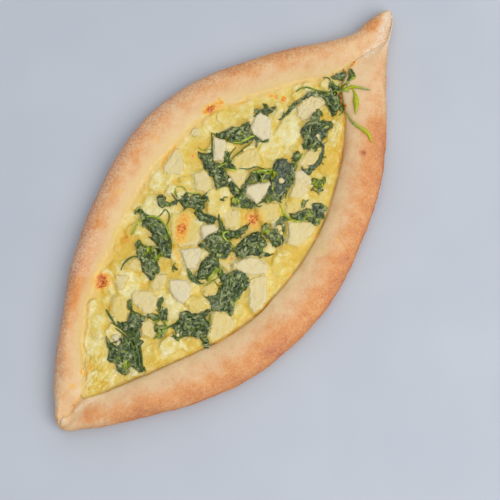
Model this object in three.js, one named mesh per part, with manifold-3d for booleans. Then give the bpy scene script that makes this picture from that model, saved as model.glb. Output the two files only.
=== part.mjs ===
// A spinach and feta pide: a boat of baked dough, the melted cheese that fills it, the feta
// chunks sunk in the cheese, and the wilted spinach that lies on top. Millimetres, +Z up.
// X runs from tip to tip, +Y is the far side, whose rim slopes softly to the filling, -Y is
// the near side, whose rim ends in a firm lip. The bread stands on Z = 0.
import * as THREE from "three";
import { ConvexGeometry } from "three/addons/geometries/ConvexGeometry.js";
import { mergeVertices } from "three/addons/utils/BufferGeometryUtils.js";
import Module from "manifold-3d";

const wasm = await Module();
wasm.setup();

// Driving dimensions.
const HALF_LENGTH = 183;
const TIP_ROUND = 7;
const TIP_MIDDLE = 8;
const TIP_LIFT = 1.6;
const SEAM_DEPTH = 3.4;
const FLOOR = 4;
const LIP_HEIGHT = 12.6;
const EDGE_HEIGHT = 12.4;
const SLOPE_HEIGHT = 16.4;
const FILL_LEVEL = 12.2;
const FILLING_CLEARANCE = 0.6;
const BELLY_HEIGHT = 8;
const UNDERCUT_HEIGHT = 3.2;
const UNDERCUT = 4;
const GAP = 0.35;
const SINK = 3.5;
const CHUNK_BEVEL = 1.3;
const CHUNK_FOOT_INSET = 1;
const CHUNK_LEAN = 0.08;
const LEAF_THICKNESS = 1.4;
const LEAF_CLEARANCE = 0.6;
const LEAF_STEP = 6.5;
const LAYER_LIFT = 0.5;
const STRAND_WIDTH = 4.5;
const CRUMPLE_HEIGHT = 0.9;
const PLUMB_REACH = 1.6;
const DOUGH_STATIONS = 52;
const FILLING_STATIONS = 35;
const FILLING_CELLS = 7;

// The trough opens between these X values, each over the length beside it.
const TROUGH_START = -162;
const TROUGH_START_RUN = 32;
const TROUGH_END = 138;
const TROUGH_END_RUN = 38;

const clamp = (v, low, high) => Math.min(high, Math.max(low, v));
const lerp = (a, b, t) => a + (b - a) * t;
const smooth = (t) => {
  const c = clamp(t, 0, 1);
  return c * c * (3 - 2 * c);
};
// A repeatable number from 0 to 1 for each whole number n.
const chance = (n) => {
  const s = Math.sin(n * 12.9898) * 43758.5453;
  return s - Math.floor(s);
};

// A smooth curve through [x, value] points, as a function of x.
function through(points) {
  const slope = (i) => {
    const a = points[Math.max(0, i - 1)];
    const b = points[Math.min(points.length - 1, i + 1)];
    return (b[1] - a[1]) / (b[0] - a[0]);
  };
  return (x) => {
    let i = 0;
    while (i < points.length - 2 && x > points[i + 1][0]) i += 1;
    const [x0, y0] = points[i];
    const [x1, y1] = points[i + 1];
    const h = x1 - x0;
    const t = clamp((x - x0) / h, 0, 1);
    const t2 = t * t;
    const t3 = t2 * t;
    return (
      (2 * t3 - 3 * t2 + 1) * y0 +
      (t3 - 2 * t2 + t) * h * slope(i) +
      (3 * t2 - 2 * t3) * y1 +
      (t3 - t2) * h * slope(i + 1)
    );
  };
}

// The bread's outline from above, and the inner edges of its two rims. Past the trough's ends
// the inner edges run on side by side as the seam where the rims were pinched together.
const farOutline = through([
  [-183, 9.5], [-176, 13], [-165, 23], [-150, 33.5], [-128, 46.5], [-90, 67], [-50, 81],
  [0, 89.5], [30, 87], [60, 77.5], [90, 60], [120, 38.5], [142, 19.5], [153, 12], [168, 9],
  [183, 4],
]);
const nearOutline = through([
  [-183, -4.5], [-176, -8], [-165, -19.5], [-140, -40], [-120, -56], [-90, -73.5],
  [-60, -84], [-20, -90], [10, -88], [50, -78.5], [80, -68], [110, -50], [140, -28],
  [160, -14.6], [172, -9], [183, -3],
]);
const nearLip = through([
  [-183, 1.4], [-170, 1.6], [-158, 1], [-150, -5], [-130, -16], [-100, -33], [-70, -47.5],
  [-40, -56], [0, -58], [30, -54], [70, -39.5], [100, -22], [113, -9], [124, -4.2],
  [137, -2.2], [150, -6.2], [163, -10], [174, -6.4], [183, -1.6],
]);
const farEdge = through([
  [-183, 3.4], [-170, 4.4], [-158, 6], [-148, 12], [-130, 27], [-100, 43], [-60, 53],
  [-20, 62], [12, 61.5], [40, 56], [70, 42], [100, 22], [120, 6], [137, -0.4],
  [150, -4.6], [163, -8.2], [174, -4.6], [183, 0.2],
]);
const nearCrest = through([
  [-183, 14.5], [-165, 18.5], [-130, 21], [-60, 20], [0, 19.4], [60, 20], [110, 20.6],
  [140, 18.5], [160, 13.5], [183, 10.5],
]);
const farCrest = through([
  [-183, 14.5], [-165, 18], [-130, 20], [-60, 19.4], [0, 20], [60, 20.6], [120, 20],
  [155, 17.5], [183, 14],
]);
const rimWave = (x, phase) =>
  0.5 * Math.sin(0.09 * x + phase) + 0.35 * Math.sin(0.23 * x + 2 * phase);

// How far the trough is open at x: 0 along the pinched tips, 1 along the middle.
const troughOpen = (x) =>
  smooth((x - TROUGH_START) / TROUGH_START_RUN) *
  smooth((TROUGH_END - x) / TROUGH_END_RUN);

// How much of its full section the bread has left at x, for the rounded ends.
function tipScale(x) {
  const t = clamp((Math.abs(x) - (HALF_LENGTH - TIP_ROUND)) / TIP_ROUND, 0, 1);
  return Math.sqrt(1 - t * t);
}

// The upper half of the dough's section at x, from the near side's belly over the near rim,
// through the trough and over the far rim to the far side's belly, as [y, z] in rising y.
function upperSection(x) {
  const near = nearOutline(x);
  const far = farOutline(x);
  const lip = nearLip(x);
  const edge = farEdge(x);
  const open = troughOpen(x);
  const nearWide = lip - near;
  const farWide = far - edge;
  const gap = edge - lip;
  const nearTop = nearCrest(x) + rimWave(x, 0.6) * open;
  const farTop = farCrest(x) + rimWave(x, 2.3) * open;
  const seam = Math.min(nearTop, farTop) - SEAM_DEPTH * smooth((HALF_LENGTH - Math.abs(x)) / 16);
  const floor = lerp(seam, FLOOR, open);
  const nearFoot = lip + Math.min(2, 0.25 * gap);
  const foot = edge - Math.min(9, 0.6 * gap);
  return [
    [near, BELLY_HEIGHT],
    [near + 0.09 * nearWide, lerp(BELLY_HEIGHT, nearTop, 0.58)],
    [near + 0.28 * nearWide, nearTop - 1.3],
    [near + 0.52 * nearWide, nearTop],
    [near + 0.8 * nearWide, nearTop - 1.9],
    [lip - 0.03 * nearWide, lerp(nearTop - 2.6, nearTop - 5, open)],
    [lip, lerp(nearTop - 3, LIP_HEIGHT, open)],
    [lip + Math.min(0.5, 0.15 * gap), lerp(seam + 0.2, FLOOR + 1.2, open)],
    [nearFoot, floor],
    [lerp(nearFoot, foot, 0.5), floor],
    [foot, floor],
    [lerp(foot, edge, 0.6), lerp(floor, lerp(seam, EDGE_HEIGHT, open), 0.5)],
    [edge, lerp(seam + 0.3, EDGE_HEIGHT, open)],
    [edge + 0.22 * farWide, lerp(farTop - 1.8, SLOPE_HEIGHT, open)],
    [edge + 0.5 * farWide, farTop],
    [far - 0.27 * farWide, farTop - 1.2],
    [far - 0.08 * farWide, lerp(BELLY_HEIGHT, farTop, 0.55)],
    [far, BELLY_HEIGHT],
  ];
}

// The whole closed section at x: the upper half, then the far side's undercut, the flat
// underside, which lifts a little under the tips, and the near side's undercut.
function doughSection(x) {
  const upper = upperSection(x);
  const near = upper[0][0];
  const far = upper[upper.length - 1][0];
  const lift = TIP_LIFT * smooth((Math.abs(x) - 150) / 30);
  const tuck = Math.min(UNDERCUT, 0.3 * (far - near));
  const loop = [
    ...upper,
    [far - 0.25 * tuck, UNDERCUT_HEIGHT + 0.5 * lift],
    [far - tuck, lift],
    [lerp(far, near, 0.36), lift],
    [lerp(far, near, 0.64), lift],
    [near + tuck, lift],
    [near + 0.25 * tuck, UNDERCUT_HEIGHT + 0.5 * lift],
  ];
  const scale = tipScale(x);
  const middle = lerp(near, far, 0.5);
  return loop.map(([y, z]) => [
    lerp(middle, y, scale),
    lerp(TIP_MIDDLE, z, scale),
  ]);
}

// The height of the dough's upper face at (x, y), inside its outline.
function doughTop(x, y) {
  const line = upperSection(x);
  let i = 0;
  while (i < line.length - 2 && y > line[i + 1][0]) i += 1;
  const [y0, z0] = line[i];
  const [y1, z1] = line[i + 1];
  return lerp(z0, z1, clamp((y - y0) / (y1 - y0), 0, 1));
}

// Low mounds of melted cheese in the filling: [x, y, half length, half width, height].
const MOUNDS = [
  [-139, 8, 12, 6, 1.1], [-121, 23, 14, 6, 1.2], [-111, -14, 9, 7, 1.6], [-84, -33, 9, 5, 1],
  [-64, -40, 10, 6, 1.3], [-52, -44, 7, 5, 0.9], [-75, -8, 7, 5, 1.2], [-80, 25, 9, 6, 1.1],
  [-30, 45, 9, 7, 1.2], [-10, 53, 10, 6, 1], [1, 13, 10, 6, 1.7], [-6, -47, 9, 6, 1.1],
  [45, 46, 10, 7, 1.4], [62, 38, 9, 6, 1.1], [53, 7, 9, 7, 1.6], [67, 3, 8, 6, 1.3],
  [79, 7, 9, 5, 1], [68, -31, 9, 6, 1.4], [36, -37, 7, 5, 0.9], [88, -22, 9, 5, 0.9],
  [100, 14, 8, 5, 0.8],
];

// The height of the melted filling at (x, y): a level with slow waves and the mounds on it,
// lower along the near lip, and climbing the far rim's slope.
function fillTop(x, y) {
  const lip = nearLip(x);
  const edge = farEdge(x);
  const open = troughOpen(x);
  let z = FILL_LEVEL + 0.5 * Math.sin(0.11 * x + 0.07 * y) + 0.4 * Math.sin(0.16 * y - 0.05 * x);
  for (const [mx, my, along, across, height] of MOUNDS) {
    const r = Math.hypot((x - mx) / along, (y - my) / across);
    z += height * smooth(1.25 - r);
  }
  z -= 1.2 * smooth(1 - (y - lip) / 5);
  z = lerp(doughTop(x, y) + 1.2, z, smooth(open * 1.6));
  return z + 2 * smooth((y - edge + 6) / 9) * open;
}

// A closed solid between two grids of points, rows by columns, both split alike.
function sheet(top, bottom) {
  const rows = top.length;
  const cols = top[0].length;
  const points = [...top.flat(), ...bottom.flat()];
  const index = [];
  const at = (i, j) => i * cols + j;
  const below = (i, j) => rows * cols + at(i, j);
  const quad = (a, b, c, d) => index.push(a, b, c, a, c, d);
  for (let i = 0; i < rows - 1; i += 1) {
    for (let j = 0; j < cols - 1; j += 1) {
      quad(at(i, j), at(i + 1, j), at(i + 1, j + 1), at(i, j + 1));
      index.push(below(i, j), below(i + 1, j + 1), below(i + 1, j));
      index.push(below(i, j), below(i, j + 1), below(i + 1, j + 1));
    }
    quad(at(i, 0), below(i, 0), below(i + 1, 0), at(i + 1, 0));
    quad(at(i + 1, cols - 1), below(i + 1, cols - 1), below(i, cols - 1), at(i, cols - 1));
  }
  for (let j = 0; j < cols - 1; j += 1) {
    quad(at(0, j + 1), below(0, j + 1), below(0, j), at(0, j));
    quad(at(rows - 1, j), below(rows - 1, j), below(rows - 1, j + 1), at(rows - 1, j + 1));
  }
  return solidFrom(points, index);
}

// A closed solid through rings of equal length, closed by a fan to a point at each end.
function loft(rings, ends) {
  const count = rings[0].length;
  const points = [...rings.flat(), ...ends];
  const index = [];
  for (let i = 0; i < rings.length - 1; i += 1) {
    for (let j = 0; j < count; j += 1) {
      const a = i * count + j;
      const b = i * count + ((j + 1) % count);
      index.push(a, a + count, b + count, a, b + count, b);
    }
  }
  const first = rings.length * count;
  for (let j = 0; j < count; j += 1) {
    const next = (j + 1) % count;
    const last = (rings.length - 1) * count;
    index.push(first, j, next, first + 1, last + next, last + j);
  }
  return solidFrom(points, index);
}

// Points and triangles as a solid, turned right side out.
function solidFrom(points, index) {
  const build = (triVerts) =>
    new wasm.Manifold(
      new wasm.Mesh({
        numProp: 3,
        vertProperties: new Float32Array(points.flat()),
        triVerts: new Uint32Array(triVerts),
      }),
    );
  const solid = build(index);
  return solid.volume() > 0 ? solid : build(index.reverse());
}

// The convex solid round a cloud of points.
function hull(cloud) {
  const geometry = new ConvexGeometry(cloud.map((p) => new THREE.Vector3(...p)));
  geometry.deleteAttribute("normal");
  const merged = mergeVertices(geometry, 1e-4);
  return new wasm.Manifold(
    new wasm.Mesh({
      numProp: 3,
      vertProperties: merged.attributes.position.array,
      triVerts: new Uint32Array(merged.index.array),
    }),
  );
}

// The largest body of a solid that a cut may have left in several.
function largest(solid) {
  const bodies = solid.decompose();
  return bodies.reduce((a, b) => (b.volume() > a.volume() ? b : a));
}

// Dough: one boat, lofted along X with closer stations towards the tips.
function makeDough() {
  const rings = [];
  for (let i = 1; i < DOUGH_STATIONS; i += 1) {
    const even = (2 * i) / DOUGH_STATIONS - 1;
    const x = HALF_LENGTH * lerp(even, Math.sin((even * Math.PI) / 2), 0.75);
    rings.push(doughSection(x).map(([y, z]) => [x, y, z]));
  }
  const ends = [-HALF_LENGTH, HALF_LENGTH].map((x) => [
    x,
    lerp(nearOutline(x), farOutline(x), 0.5),
    TIP_MIDDLE,
  ]);
  return loft(rings, ends);
}

// Filling: what lies between the trough and the melted surface. Its columns keep to the
// trough's own corners on the far side, where the wall turns into the rim.
function makeFilling() {
  const top = [];
  const bottom = [];
  for (let i = 0; i <= FILLING_STATIONS; i += 1) {
    const x = lerp(TROUGH_START + 4, TROUGH_END - 3, i / FILLING_STATIONS);
    const lip = nearLip(x);
    const edge = farEdge(x);
    const start = lip + Math.min(1.1, 0.3 * (edge - lip));
    const [foot, slope, corner] = upperSection(x).slice(10, 13).map((p) => p[0]);
    const columns = [];
    for (let j = 0; j < FILLING_CELLS; j += 1) {
      columns.push(lerp(start, foot, j / FILLING_CELLS));
    }
    columns.push(foot, slope, corner, edge + 3 * troughOpen(x) + 0.2);
    const under = columns.map((y) => doughTop(x, y) + FILLING_CLEARANCE);
    bottom.push(columns.map((y, j) => [x, y, under[j]]));
    top.push(columns.map((y, j) => [x, y, Math.max(fillTop(x, y), under[j] + 0.5)]));
  }
  return sheet(top, bottom);
}

// Feta chunks: [rise above the filling, corners of the outline from above, counterclockwise].
const FETA = [
  [4.4, [[15, -9.9], [18.7, -11.4], [31.2, -9.5], [33, -7.3], [23.5, 1.7], [19.8, 3.1],
    [16.1, 1.1]]],
  [4.6, [[21.1, 32.3], [24.5, 26.7], [35.2, 31.1], [37.7, 34.8], [34.5, 42.6]]],
  [3.6, [[51.8, 21.5], [52.5, 13.5], [57.5, 10.4], [68.8, 19], [67.6, 27.5], [64.2, 28.4],
    [54.4, 26.1]]],
  [3.4, [[-48.1, 0.9], [-45, -4.3], [-32.5, -0.5], [-31.6, 2.7], [-41.2, 13.1]]],
  [3.4, [[-27, 4.6], [-15, 0.2], [-12.6, 3.8], [-19.1, 12.4]]],
  [3.8, [[-30.4, -23.5], [-26.8, -35], [-18.9, -44.2], [-13.8, -42], [-13.7, -34.3],
    [-16.4, -27.9], [-27.2, -21]]],
  [2.8, [[-45.9, -53], [-39.6, -55.7], [-32.8, -54.7], [-19.2, -45.2], [-23.7, -39.4],
    [-29.2, -36], [-43.1, -46.7]]],
  [3.4, [[5.5, -42.5], [9.7, -50.3], [20.1, -52.6], [27.2, -50.6], [27.9, -45.9],
    [18.5, -33.5]]],
  [2.8, [[-88.2, 29.1], [-85.4, 25.3], [-74.5, 28.9], [-80.5, 36.9], [-85.2, 34]]],
  [3, [[-90, 4.7], [-86.7, 0.5], [-80.5, 1.1], [-75.7, 4.9], [-74.9, 11.5], [-79.5, 19.8],
    [-84.1, 20.3], [-89.4, 16.2]]],
  [3.8, [[-70.2, -7], [-69, -11.9], [-63.5, -13.6], [-56.3, -9.7], [-54.2, -4.6], [-61.8, 6.4],
    [-66.8, 0.8]]],
  [2.8, [[-74.6, 10.1], [-70, 5.2], [-63.7, 5.8], [-57.9, 9.5], [-63.8, 16], [-71.7, 14]]],
  [2.4, [[-103.2, -3.1], [-100.7, -8.7], [-95.5, -12.2], [-90.2, -4.7], [-90.4, 1],
    [-95.8, 3.6]]],
  [2.6, [[-9.4, -5.7], [-5.6, -9.5], [0.5, -7.4], [4.8, -1.6], [0.8, 4.7], [-4.3, 6.8],
    [-9.2, -0.4]]],
  [2.8, [[7.4, -19.9], [13.9, -26.1], [21.3, -25.6], [25.8, -21.3], [18.4, -11.6],
    [10.5, -12.5]]],
  [2.4, [[-39.8, 19.4], [-39.2, 13.1], [-31.6, 5.3], [-26.2, 6.1], [-14.8, 21.8], [-17.8, 28],
    [-24.5, 32.2], [-33.8, 27.5]]],
  [2.4, [[-7.2, 54.3], [0, 43.6], [5.5, 44.4], [14, 55.3], [13, 58.9], [-1.9, 57.6]]],
  [2, [[26.1, 53.5], [30, 49.6], [34, 53.6], [31, 58.2], [26.7, 57.4]]],
  [2.6, [[28.5, 14.9], [37.6, 4.7], [41.7, 6.1], [46.2, 13], [42.6, 18.8], [33.8, 22.3],
    [28.8, 21.9]]],
  [2.8, [[15.6, 5.8], [30.3, 7.7], [20.6, 21.7]]],
  [2.6, [[52.4, -14.8], [55.2, -19.5], [61, -23.7], [66.8, -24.4], [72.3, -21.2],
    [66.5, -13.6]]],
  [2.8, [[80.6, 0.4], [85.6, -2.7], [100.8, -5], [101.3, 1.4], [98.5, 6.2], [92.1, 9.9],
    [85, 9.8], [80.9, 5.8]]],
  [2.8, [[32.8, -23.6], [33.9, -29.6], [39.2, -33.2], [45.3, -32], [46.8, -25.8],
    [45.3, -19.3]]],
  [3, [[46.3, -28.7], [49.3, -31.6], [52.9, -27.1], [53.5, -19.9], [50.2, -15.6], [45.9, -18]]],
  [2.6, [[-70.8, -19.2], [-61.4, -27.1], [-58.6, -24.1], [-58.6, -18.1], [-63.8, -12.9],
    [-68.3, -14.7]]],
  [2.6, [[-55.1, -18.8], [-52.8, -22.9], [-48.1, -23.5], [-44.4, -21.6], [-44.9, -17.7],
    [-49.7, -14.7]]],
  [2.2, [[-74.1, 35.2], [-70.9, 26.6], [-67.4, 24.3], [-63.3, 26.7], [-61.8, 30.4],
    [-64, 33.8]]],
  [2.2, [[-104.8, 17.7], [-104, 13.3], [-96.9, 12.9], [-89.4, 19.7], [-89.1, 25.9],
    [-93.5, 28.4], [-101.6, 24.5]]],
  [2.4, [[-78.7, -42.9], [-72.2, -47.1], [-63.9, -49.2], [-57, -47.2], [-54.9, -38.9],
    [-61.9, -30.8], [-74.8, -38.2]]],
  [2.4, [[-1.8, 31], [-0.5, 22.5], [6.5, 20.2], [11.7, 26], [13, 34.7], [5, 37.1]]],
  [2.2, [[-34.3, -21.4], [-31.2, -23.2], [-27.4, -20.3], [-30.3, -13.2], [-33.5, -15.7]]],
  [1.8, [[81.2, -6.9], [84.8, -11], [86.3, -9], [85, -6.6]]],
  [2.2, [[22.7, -29.6], [26.4, -34.4], [31.2, -35], [34.1, -32], [28.5, -23.5]]],
];

// The corners of a convex outline, with each edge moved out by a distance, or in if negative.
function moveEdges(corners, distance) {
  return corners.map(([x, y], k) => {
    const [px, py] = corners[(k + corners.length - 1) % corners.length];
    const [nx, ny] = corners[(k + 1) % corners.length];
    const before = new THREE.Vector2(y - py, px - x).normalize();
    const after = new THREE.Vector2(ny - y, x - nx).normalize();
    const reach = distance / Math.max(0.5, 1 + before.dot(after));
    return [x + reach * (before.x + after.x), y + reach * (before.y + after.y)];
  });
}

// The points of one feta chunk: its outline, bevelled round the top and drawn in at the foot.
// grow makes the same form that much larger all round, for the pocket it sits in.
function chunkCloud([rise, corners], number, grow) {
  const x = corners.reduce((sum, corner) => sum + corner[0], 0) / corners.length;
  const y = corners.reduce((sum, corner) => sum + corner[1], 0) / corners.length;
  const radius = Math.min(...corners.map((corner) => Math.hypot(corner[0] - x, corner[1] - y)));
  const bevel = Math.min(CHUNK_BEVEL, 0.3 * radius);
  const level = fillTop(x, y);
  const tilt = [chance(number + 0.1) - 0.5, chance(number + 0.2) - 0.5];
  const cloud = [];
  for (const [inset, z, isFoot] of [
    [bevel, level + rise + grow, false],
    [0, level + rise - bevel + grow, false],
    [Math.min(CHUNK_FOOT_INSET, 0.3 * radius), level - SINK - grow, true],
  ]) {
    for (const [px, py] of moveEdges(corners, grow - inset)) {
      const lean = CHUNK_LEAN * (tilt[0] * (px - x) + tilt[1] * (py - y));
      const clear = doughTop(px, py) + 1.6 - grow;
      cloud.push([px, py, isFoot ? Math.max(z, clear) : z + lean]);
    }
  }
  return cloud;
}

// Spinach: each bunch is a list of leaves and strands, [from x, from y, to x, to y, width,
// sideways bow], where a positive bow bends the leaf to the left of its own direction.
const SPINACH = {
  left_bunch: [
    [-131, 2, -103, -2, 15.6], [-119, 11, -120, -18, 15], [-129, -9, -109, 7, 13],
  ],
  left_scrap: [
    [-108, 14, -90, 5.6, 10.4], [-100, 4, -88, 20, 7], [-105, 15, -103, 27, 3.2],
    [-105.6, 14, -101.4, 4.6, 4.4],
  ],
  sprig: [
    [-89, 3, -85.5, -10, 5], [-86, -7, -76, -3.5, 3.4, 1], [-88, -2.6, -73, 3.6, 3.8, -1.4],
    [-100, -10, -86, -9.4, 3.8, -1.6],
  ],
  near_left: [
    [-91, -19, -62, -28.5, 12, 1.6], [-84, -12, -76, -38, 13, -1], [-70, -14, -82, -20, 8],
    [-75, -31, -84, -42, 5.5], [-71, -34, -62, -29.4, 2.2],
  ],
  long_band: [
    [-60.5, -29.6, -27, -32, 12], [-57, -17, -53.4, -42, 9, -1], [-46, -25, -29, -37, 8],
  ],
  crescent: [
    [-46, 47, -49, 17, 12.4, 9.6], [-53.4, 46, -33, 37, 4.4, 4], [-34.4, 38.6, -24, 39, 2],
    [-24.2, 39.4, -34.6, 31.6, 2, 1.6], [-37, 44, -39.6, 54, 4.2, -3],
  ],
  flecked_leaf: [
    [-69, 15, -51, 36, 12.6], [-52.6, 40.6, -61, 18, 11], [-75, 36.6, -60, 32, 2.2, 3.4],
  ],
  upper_middle: [
    [-25.4, 42, -17.6, 48, 9], [-23, 43, -12, 34, 4], [-15, 38, -3, 21, 13],
    [-1, 29, -14, 19, 9], [-16, 21, -8.6, 7, 7.4], [-13, 45, -12.6, 34, 2.4],
    [-5, 36, -13, 32, 3],
  ],
  central: [
    [-50.6, -6, -28, -8, 11.6], [-50, 1.6, -50.4, -13, 4], [-48, -11.6, -33, -15, 2.6],
    [-41.4, -12, -36.6, -21, 7], [-31.6, 6, -13.6, -3, 10.6], [-29, -13, -11.6, -6, 13],
    [-13, -6, 1.4, -13, 5, 1], [-16.6, -1, -5.6, 7.2, 2.4],
  ],
  pointed_leaf: [
    [-20, -18.2, -7, -35.6, 12.4, 1], [-18.4, -18.8, 0.6, -21.8, 6.4], [-2.4, -20, -4.4, -30, 6],
    [-9, -31, -3.8, -38.4, 2.2],
  ],
  small_fold: [
    [5.6, -21.4, 3.6, -39, 11], [7.6, -29.6, 19.4, -29.6, 4.4, 1.2],
  ],
  near_clump: [
    [22.6, -25, 28, -42, 3.2, -3], [24, -33.4, 38.6, -46.6, 9], [29.4, -47, 44, -42, 10.4],
  ],
  bright_scrap: [
    [46.6, -32, 60, -35, 8, 0.6], [53.6, -28, 51, -39, 5.6],
  ],
  near_crescent: [
    [54.4, -18.6, 77, -19.6, 4.8, -5.4],
  ],
  split_leaf: [
    [69, -8, 96, -4.4, 7, 3], [67, -11, 94.6, -15, 9.4, -1], [73, -3.4, 75.4, -18, 10.6],
  ],
  right_bunch: [
    [67.6, 16, 104, 7, 4.6, 2.4], [104.4, 11, 103.6, -15.4, 10.4, 1], [97.6, -11, 111, -5, 7.4],
    [97.6, 18.4, 109.6, 0, 2.8, 2.6], [91.6, 15.6, 101, 17, 3], [108.6, 0, 129, 0.4, 6.4, 1.6],
    [116, 8, 119, 1, 3], [109, -4, 125, -6, 3, -0.8], [123, -6.4, 132.4, -2.6, 6.2],
  ],
  forked_shred: [
    [122.4, -8.8, 108.6, -24.4, 5], [121.4, -9, 128, -22, 2.6],
  ],
  long_shred: [
    [106.4, -17.4, 98.6, -46, 4.4, 0.8],
  ],
  column: [
    [22.4, 46.6, 16.6, 28, 9], [20, 32, 14.6, 9.6, 9.4], [7.6, 17.6, 18.4, 27, 8],
    [17, 28.4, 26.4, 21.6, 4.6], [23.6, 21.4, 33, 28, 3.8],
  ],
  far_leaf: [
    [37, 46.8, 55, 29, 10.6], [47.4, 36, 53, 19.6, 11], [41.6, 28.4, 53.4, 21, 3.4],
    [52.6, 22, 57, 12, 3.4],
  ],
  ring_leaf: [
    [2.6, 5.4, 18, 4, 6.6], [9.6, 6, 15.4, -9.4, 9], [14, 5.8, 33, 5.8, 5],
    [28, 6.6, 44, -3.4, 6.6],
    [33, -8, 53.4, -6, 12], [21.6, -12.4, 52, -12.4, 12.4], [24, -12, 29, -21.4, 7],
    [30, 16.4, 39.6, 2, 3.4],
  ],
  far_scrap: [
    [64.6, 30.2, 77, 30, 4.8], [69, 27.6, 79.4, 22, 5],
  ],
  pale_scrap: [
    [53.6, -11.6, 63.4, -7.4, 4.8],
  ],
  speck_left: [
    [-51.6, 10.8, -51, 6.8, 3.2],
  ],
  speck_middle: [
    [1.4, 11.6, 5, 11.2, 3],
  ],
};

// The crumpling that all the spinach shares, so that leaves lying on each other stay parallel.
const crumple = (x, y) =>
  CRUMPLE_HEIGHT * (1 + Math.sin(0.42 * x + 0.3 * y) * Math.cos(0.36 * y - 0.21 * x));

// One leaf or strand: a thin wavy blade laid over ground(x, y), narrow at both ends.
function leaf([x0, y0, x1, y1, width, bow = 0], seed, lift, ground) {
  const isStrand = width < STRAND_WIDTH;
  const length = Math.hypot(x1 - x0, y1 - y0);
  const along = clamp(Math.round(length / LEAF_STEP), 2, 5);
  const across = isStrand ? 1 : 2;
  const dx = (x1 - x0) / length;
  const dy = (y1 - y0) / length;
  const top = [];
  const bottom = [];
  for (let i = 0; i <= along; i += 1) {
    const t = i / along;
    const shift = 4 * bow * t * (1 - t);
    const taper = 0.22 + 0.78 * Math.sin(Math.PI * clamp(t, 0.02, 0.98)) ** 0.6;
    const topRow = [];
    const bottomRow = [];
    for (let j = 0; j <= across; j += 1) {
      const side = (2 * j) / across - 1;
      const ragged = 1 + 0.3 * (chance(seed * 7 + i * 3 + j) - 0.5);
      const out = shift + side * (width / 2) * taper * ragged;
      const x = lerp(x0, x1, t) - dy * out;
      const y = lerp(y0, y1, t) + dx * out;
      const z = ground(x, y) + LEAF_CLEARANCE + lift + crumple(x, y);
      topRow.push([x, y, z + LEAF_THICKNESS]);
      bottomRow.push([x, y, z]);
    }
    top.push(topRow);
    bottom.push(bottomRow);
  }
  return sheet(top, bottom);
}

// The faces of a solid, as geometry for a mesh.
function geometryOf(solid) {
  const mesh = solid.getMesh();
  const geometry = new THREE.BufferGeometry();
  geometry.setAttribute("position", new THREE.BufferAttribute(mesh.vertProperties, 3));
  geometry.setIndex(new THREE.BufferAttribute(mesh.triVerts, 1));
  return geometry;
}

// The height that a leaf at (x, y) lies on: the highest face that plumb lines meet there and
// a little to each side, so that it bridges the narrow crack between dough and filling.
function plumb(meshes) {
  const caster = new THREE.Raycaster();
  const down = new THREE.Vector3(0, 0, -1);
  const height = (x, y) => {
    caster.set(new THREE.Vector3(x, y, 100), down);
    const hits = caster.intersectObjects(meshes);
    return hits.length ? hits[0].point.z : 0;
  };
  return (x, y) =>
    Math.max(
      height(x, y),
      height(x + PLUMB_REACH, y),
      height(x - PLUMB_REACH, y),
      height(x, y + PLUMB_REACH),
      height(x, y - PLUMB_REACH),
    );
}

const crust = new THREE.MeshStandardMaterial({ color: 0xdfa878, roughness: 0.7, metalness: 0 });
const melted = new THREE.MeshStandardMaterial({ color: 0xe3cf72, roughness: 0.4, metalness: 0 });
const curd = new THREE.MeshStandardMaterial({ color: 0xe6dab2, roughness: 0.6, metalness: 0 });
const green = new THREE.MeshStandardMaterial({ color: 0x3f5f3a, roughness: 0.5, metalness: 0 });

const pide = new THREE.Group();
function add(name, solid, material) {
  const mesh = new THREE.Mesh(geometryOf(solid), material);
  mesh.name = name;
  pide.add(mesh);
  return mesh;
}

const dough = makeDough();
const filling = makeFilling();
const ground = plumb([
  new THREE.Mesh(geometryOf(dough), crust),
  new THREE.Mesh(geometryOf(filling), melted),
]);

const pockets = FETA.map((chunk, i) => hull(chunkCloud(chunk, i + 1, GAP + 0.07)));
const chunks = FETA.map((chunk, i) =>
  largest(
    pockets
      .slice(0, i)
      .reduce((s, p) => s.subtract(p), hull(chunkCloud(chunk, i + 1, 0))),
  ),
);

add("dough", dough, crust);
add("filling", largest(pockets.reduce((s, p) => s.subtract(p), filling)), melted);
chunks.forEach((solid, i) => {
  add(`feta_${String(i + 1).padStart(2, "0")}`, solid, curd);
});
Object.entries(SPINACH).forEach(([name, leaves], bunch) => {
  const blades = leaves.map((one, i) => leaf(one, 10 * bunch + i + 1, LAYER_LIFT * (i % 3), ground));
  const whole = blades.reduce((s, b) => s.add(b));
  const clear = pockets.reduce((s, p) => s.subtract(p), whole);
  add(`spinach_${name}`, largest(clear), green);
});

// The origin is the middle of the bread's box, on the surface it stands on.
const box = new THREE.Box3().setFromObject(pide);
const middle = box.getCenter(new THREE.Vector3());
pide.position.set(-middle.x, -middle.y, -box.min.z);

const part = new THREE.Group();
part.add(pide);

export default part;
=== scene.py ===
"""The looks of a spinach and feta pide.

A boat of baked dough holds melted cheese, sunken feta chunks and wilted spinach. Shapes are
worked out in millimetres, with X from tip to tip, +Y towards the rim that slopes softly to the
filling ("far") and -Y towards the rim that ends in a firm lip ("near"). Meshes are in metres.
"""

import logging
import math
from dataclasses import dataclass, field
from enum import Enum, auto
from typing import Callable, Sequence

import bmesh
import bpy
import numpy as np
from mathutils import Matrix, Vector
from mathutils.bvhtree import BVHTree
from mathutils.geometry import delaunay_2d_cdt

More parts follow.
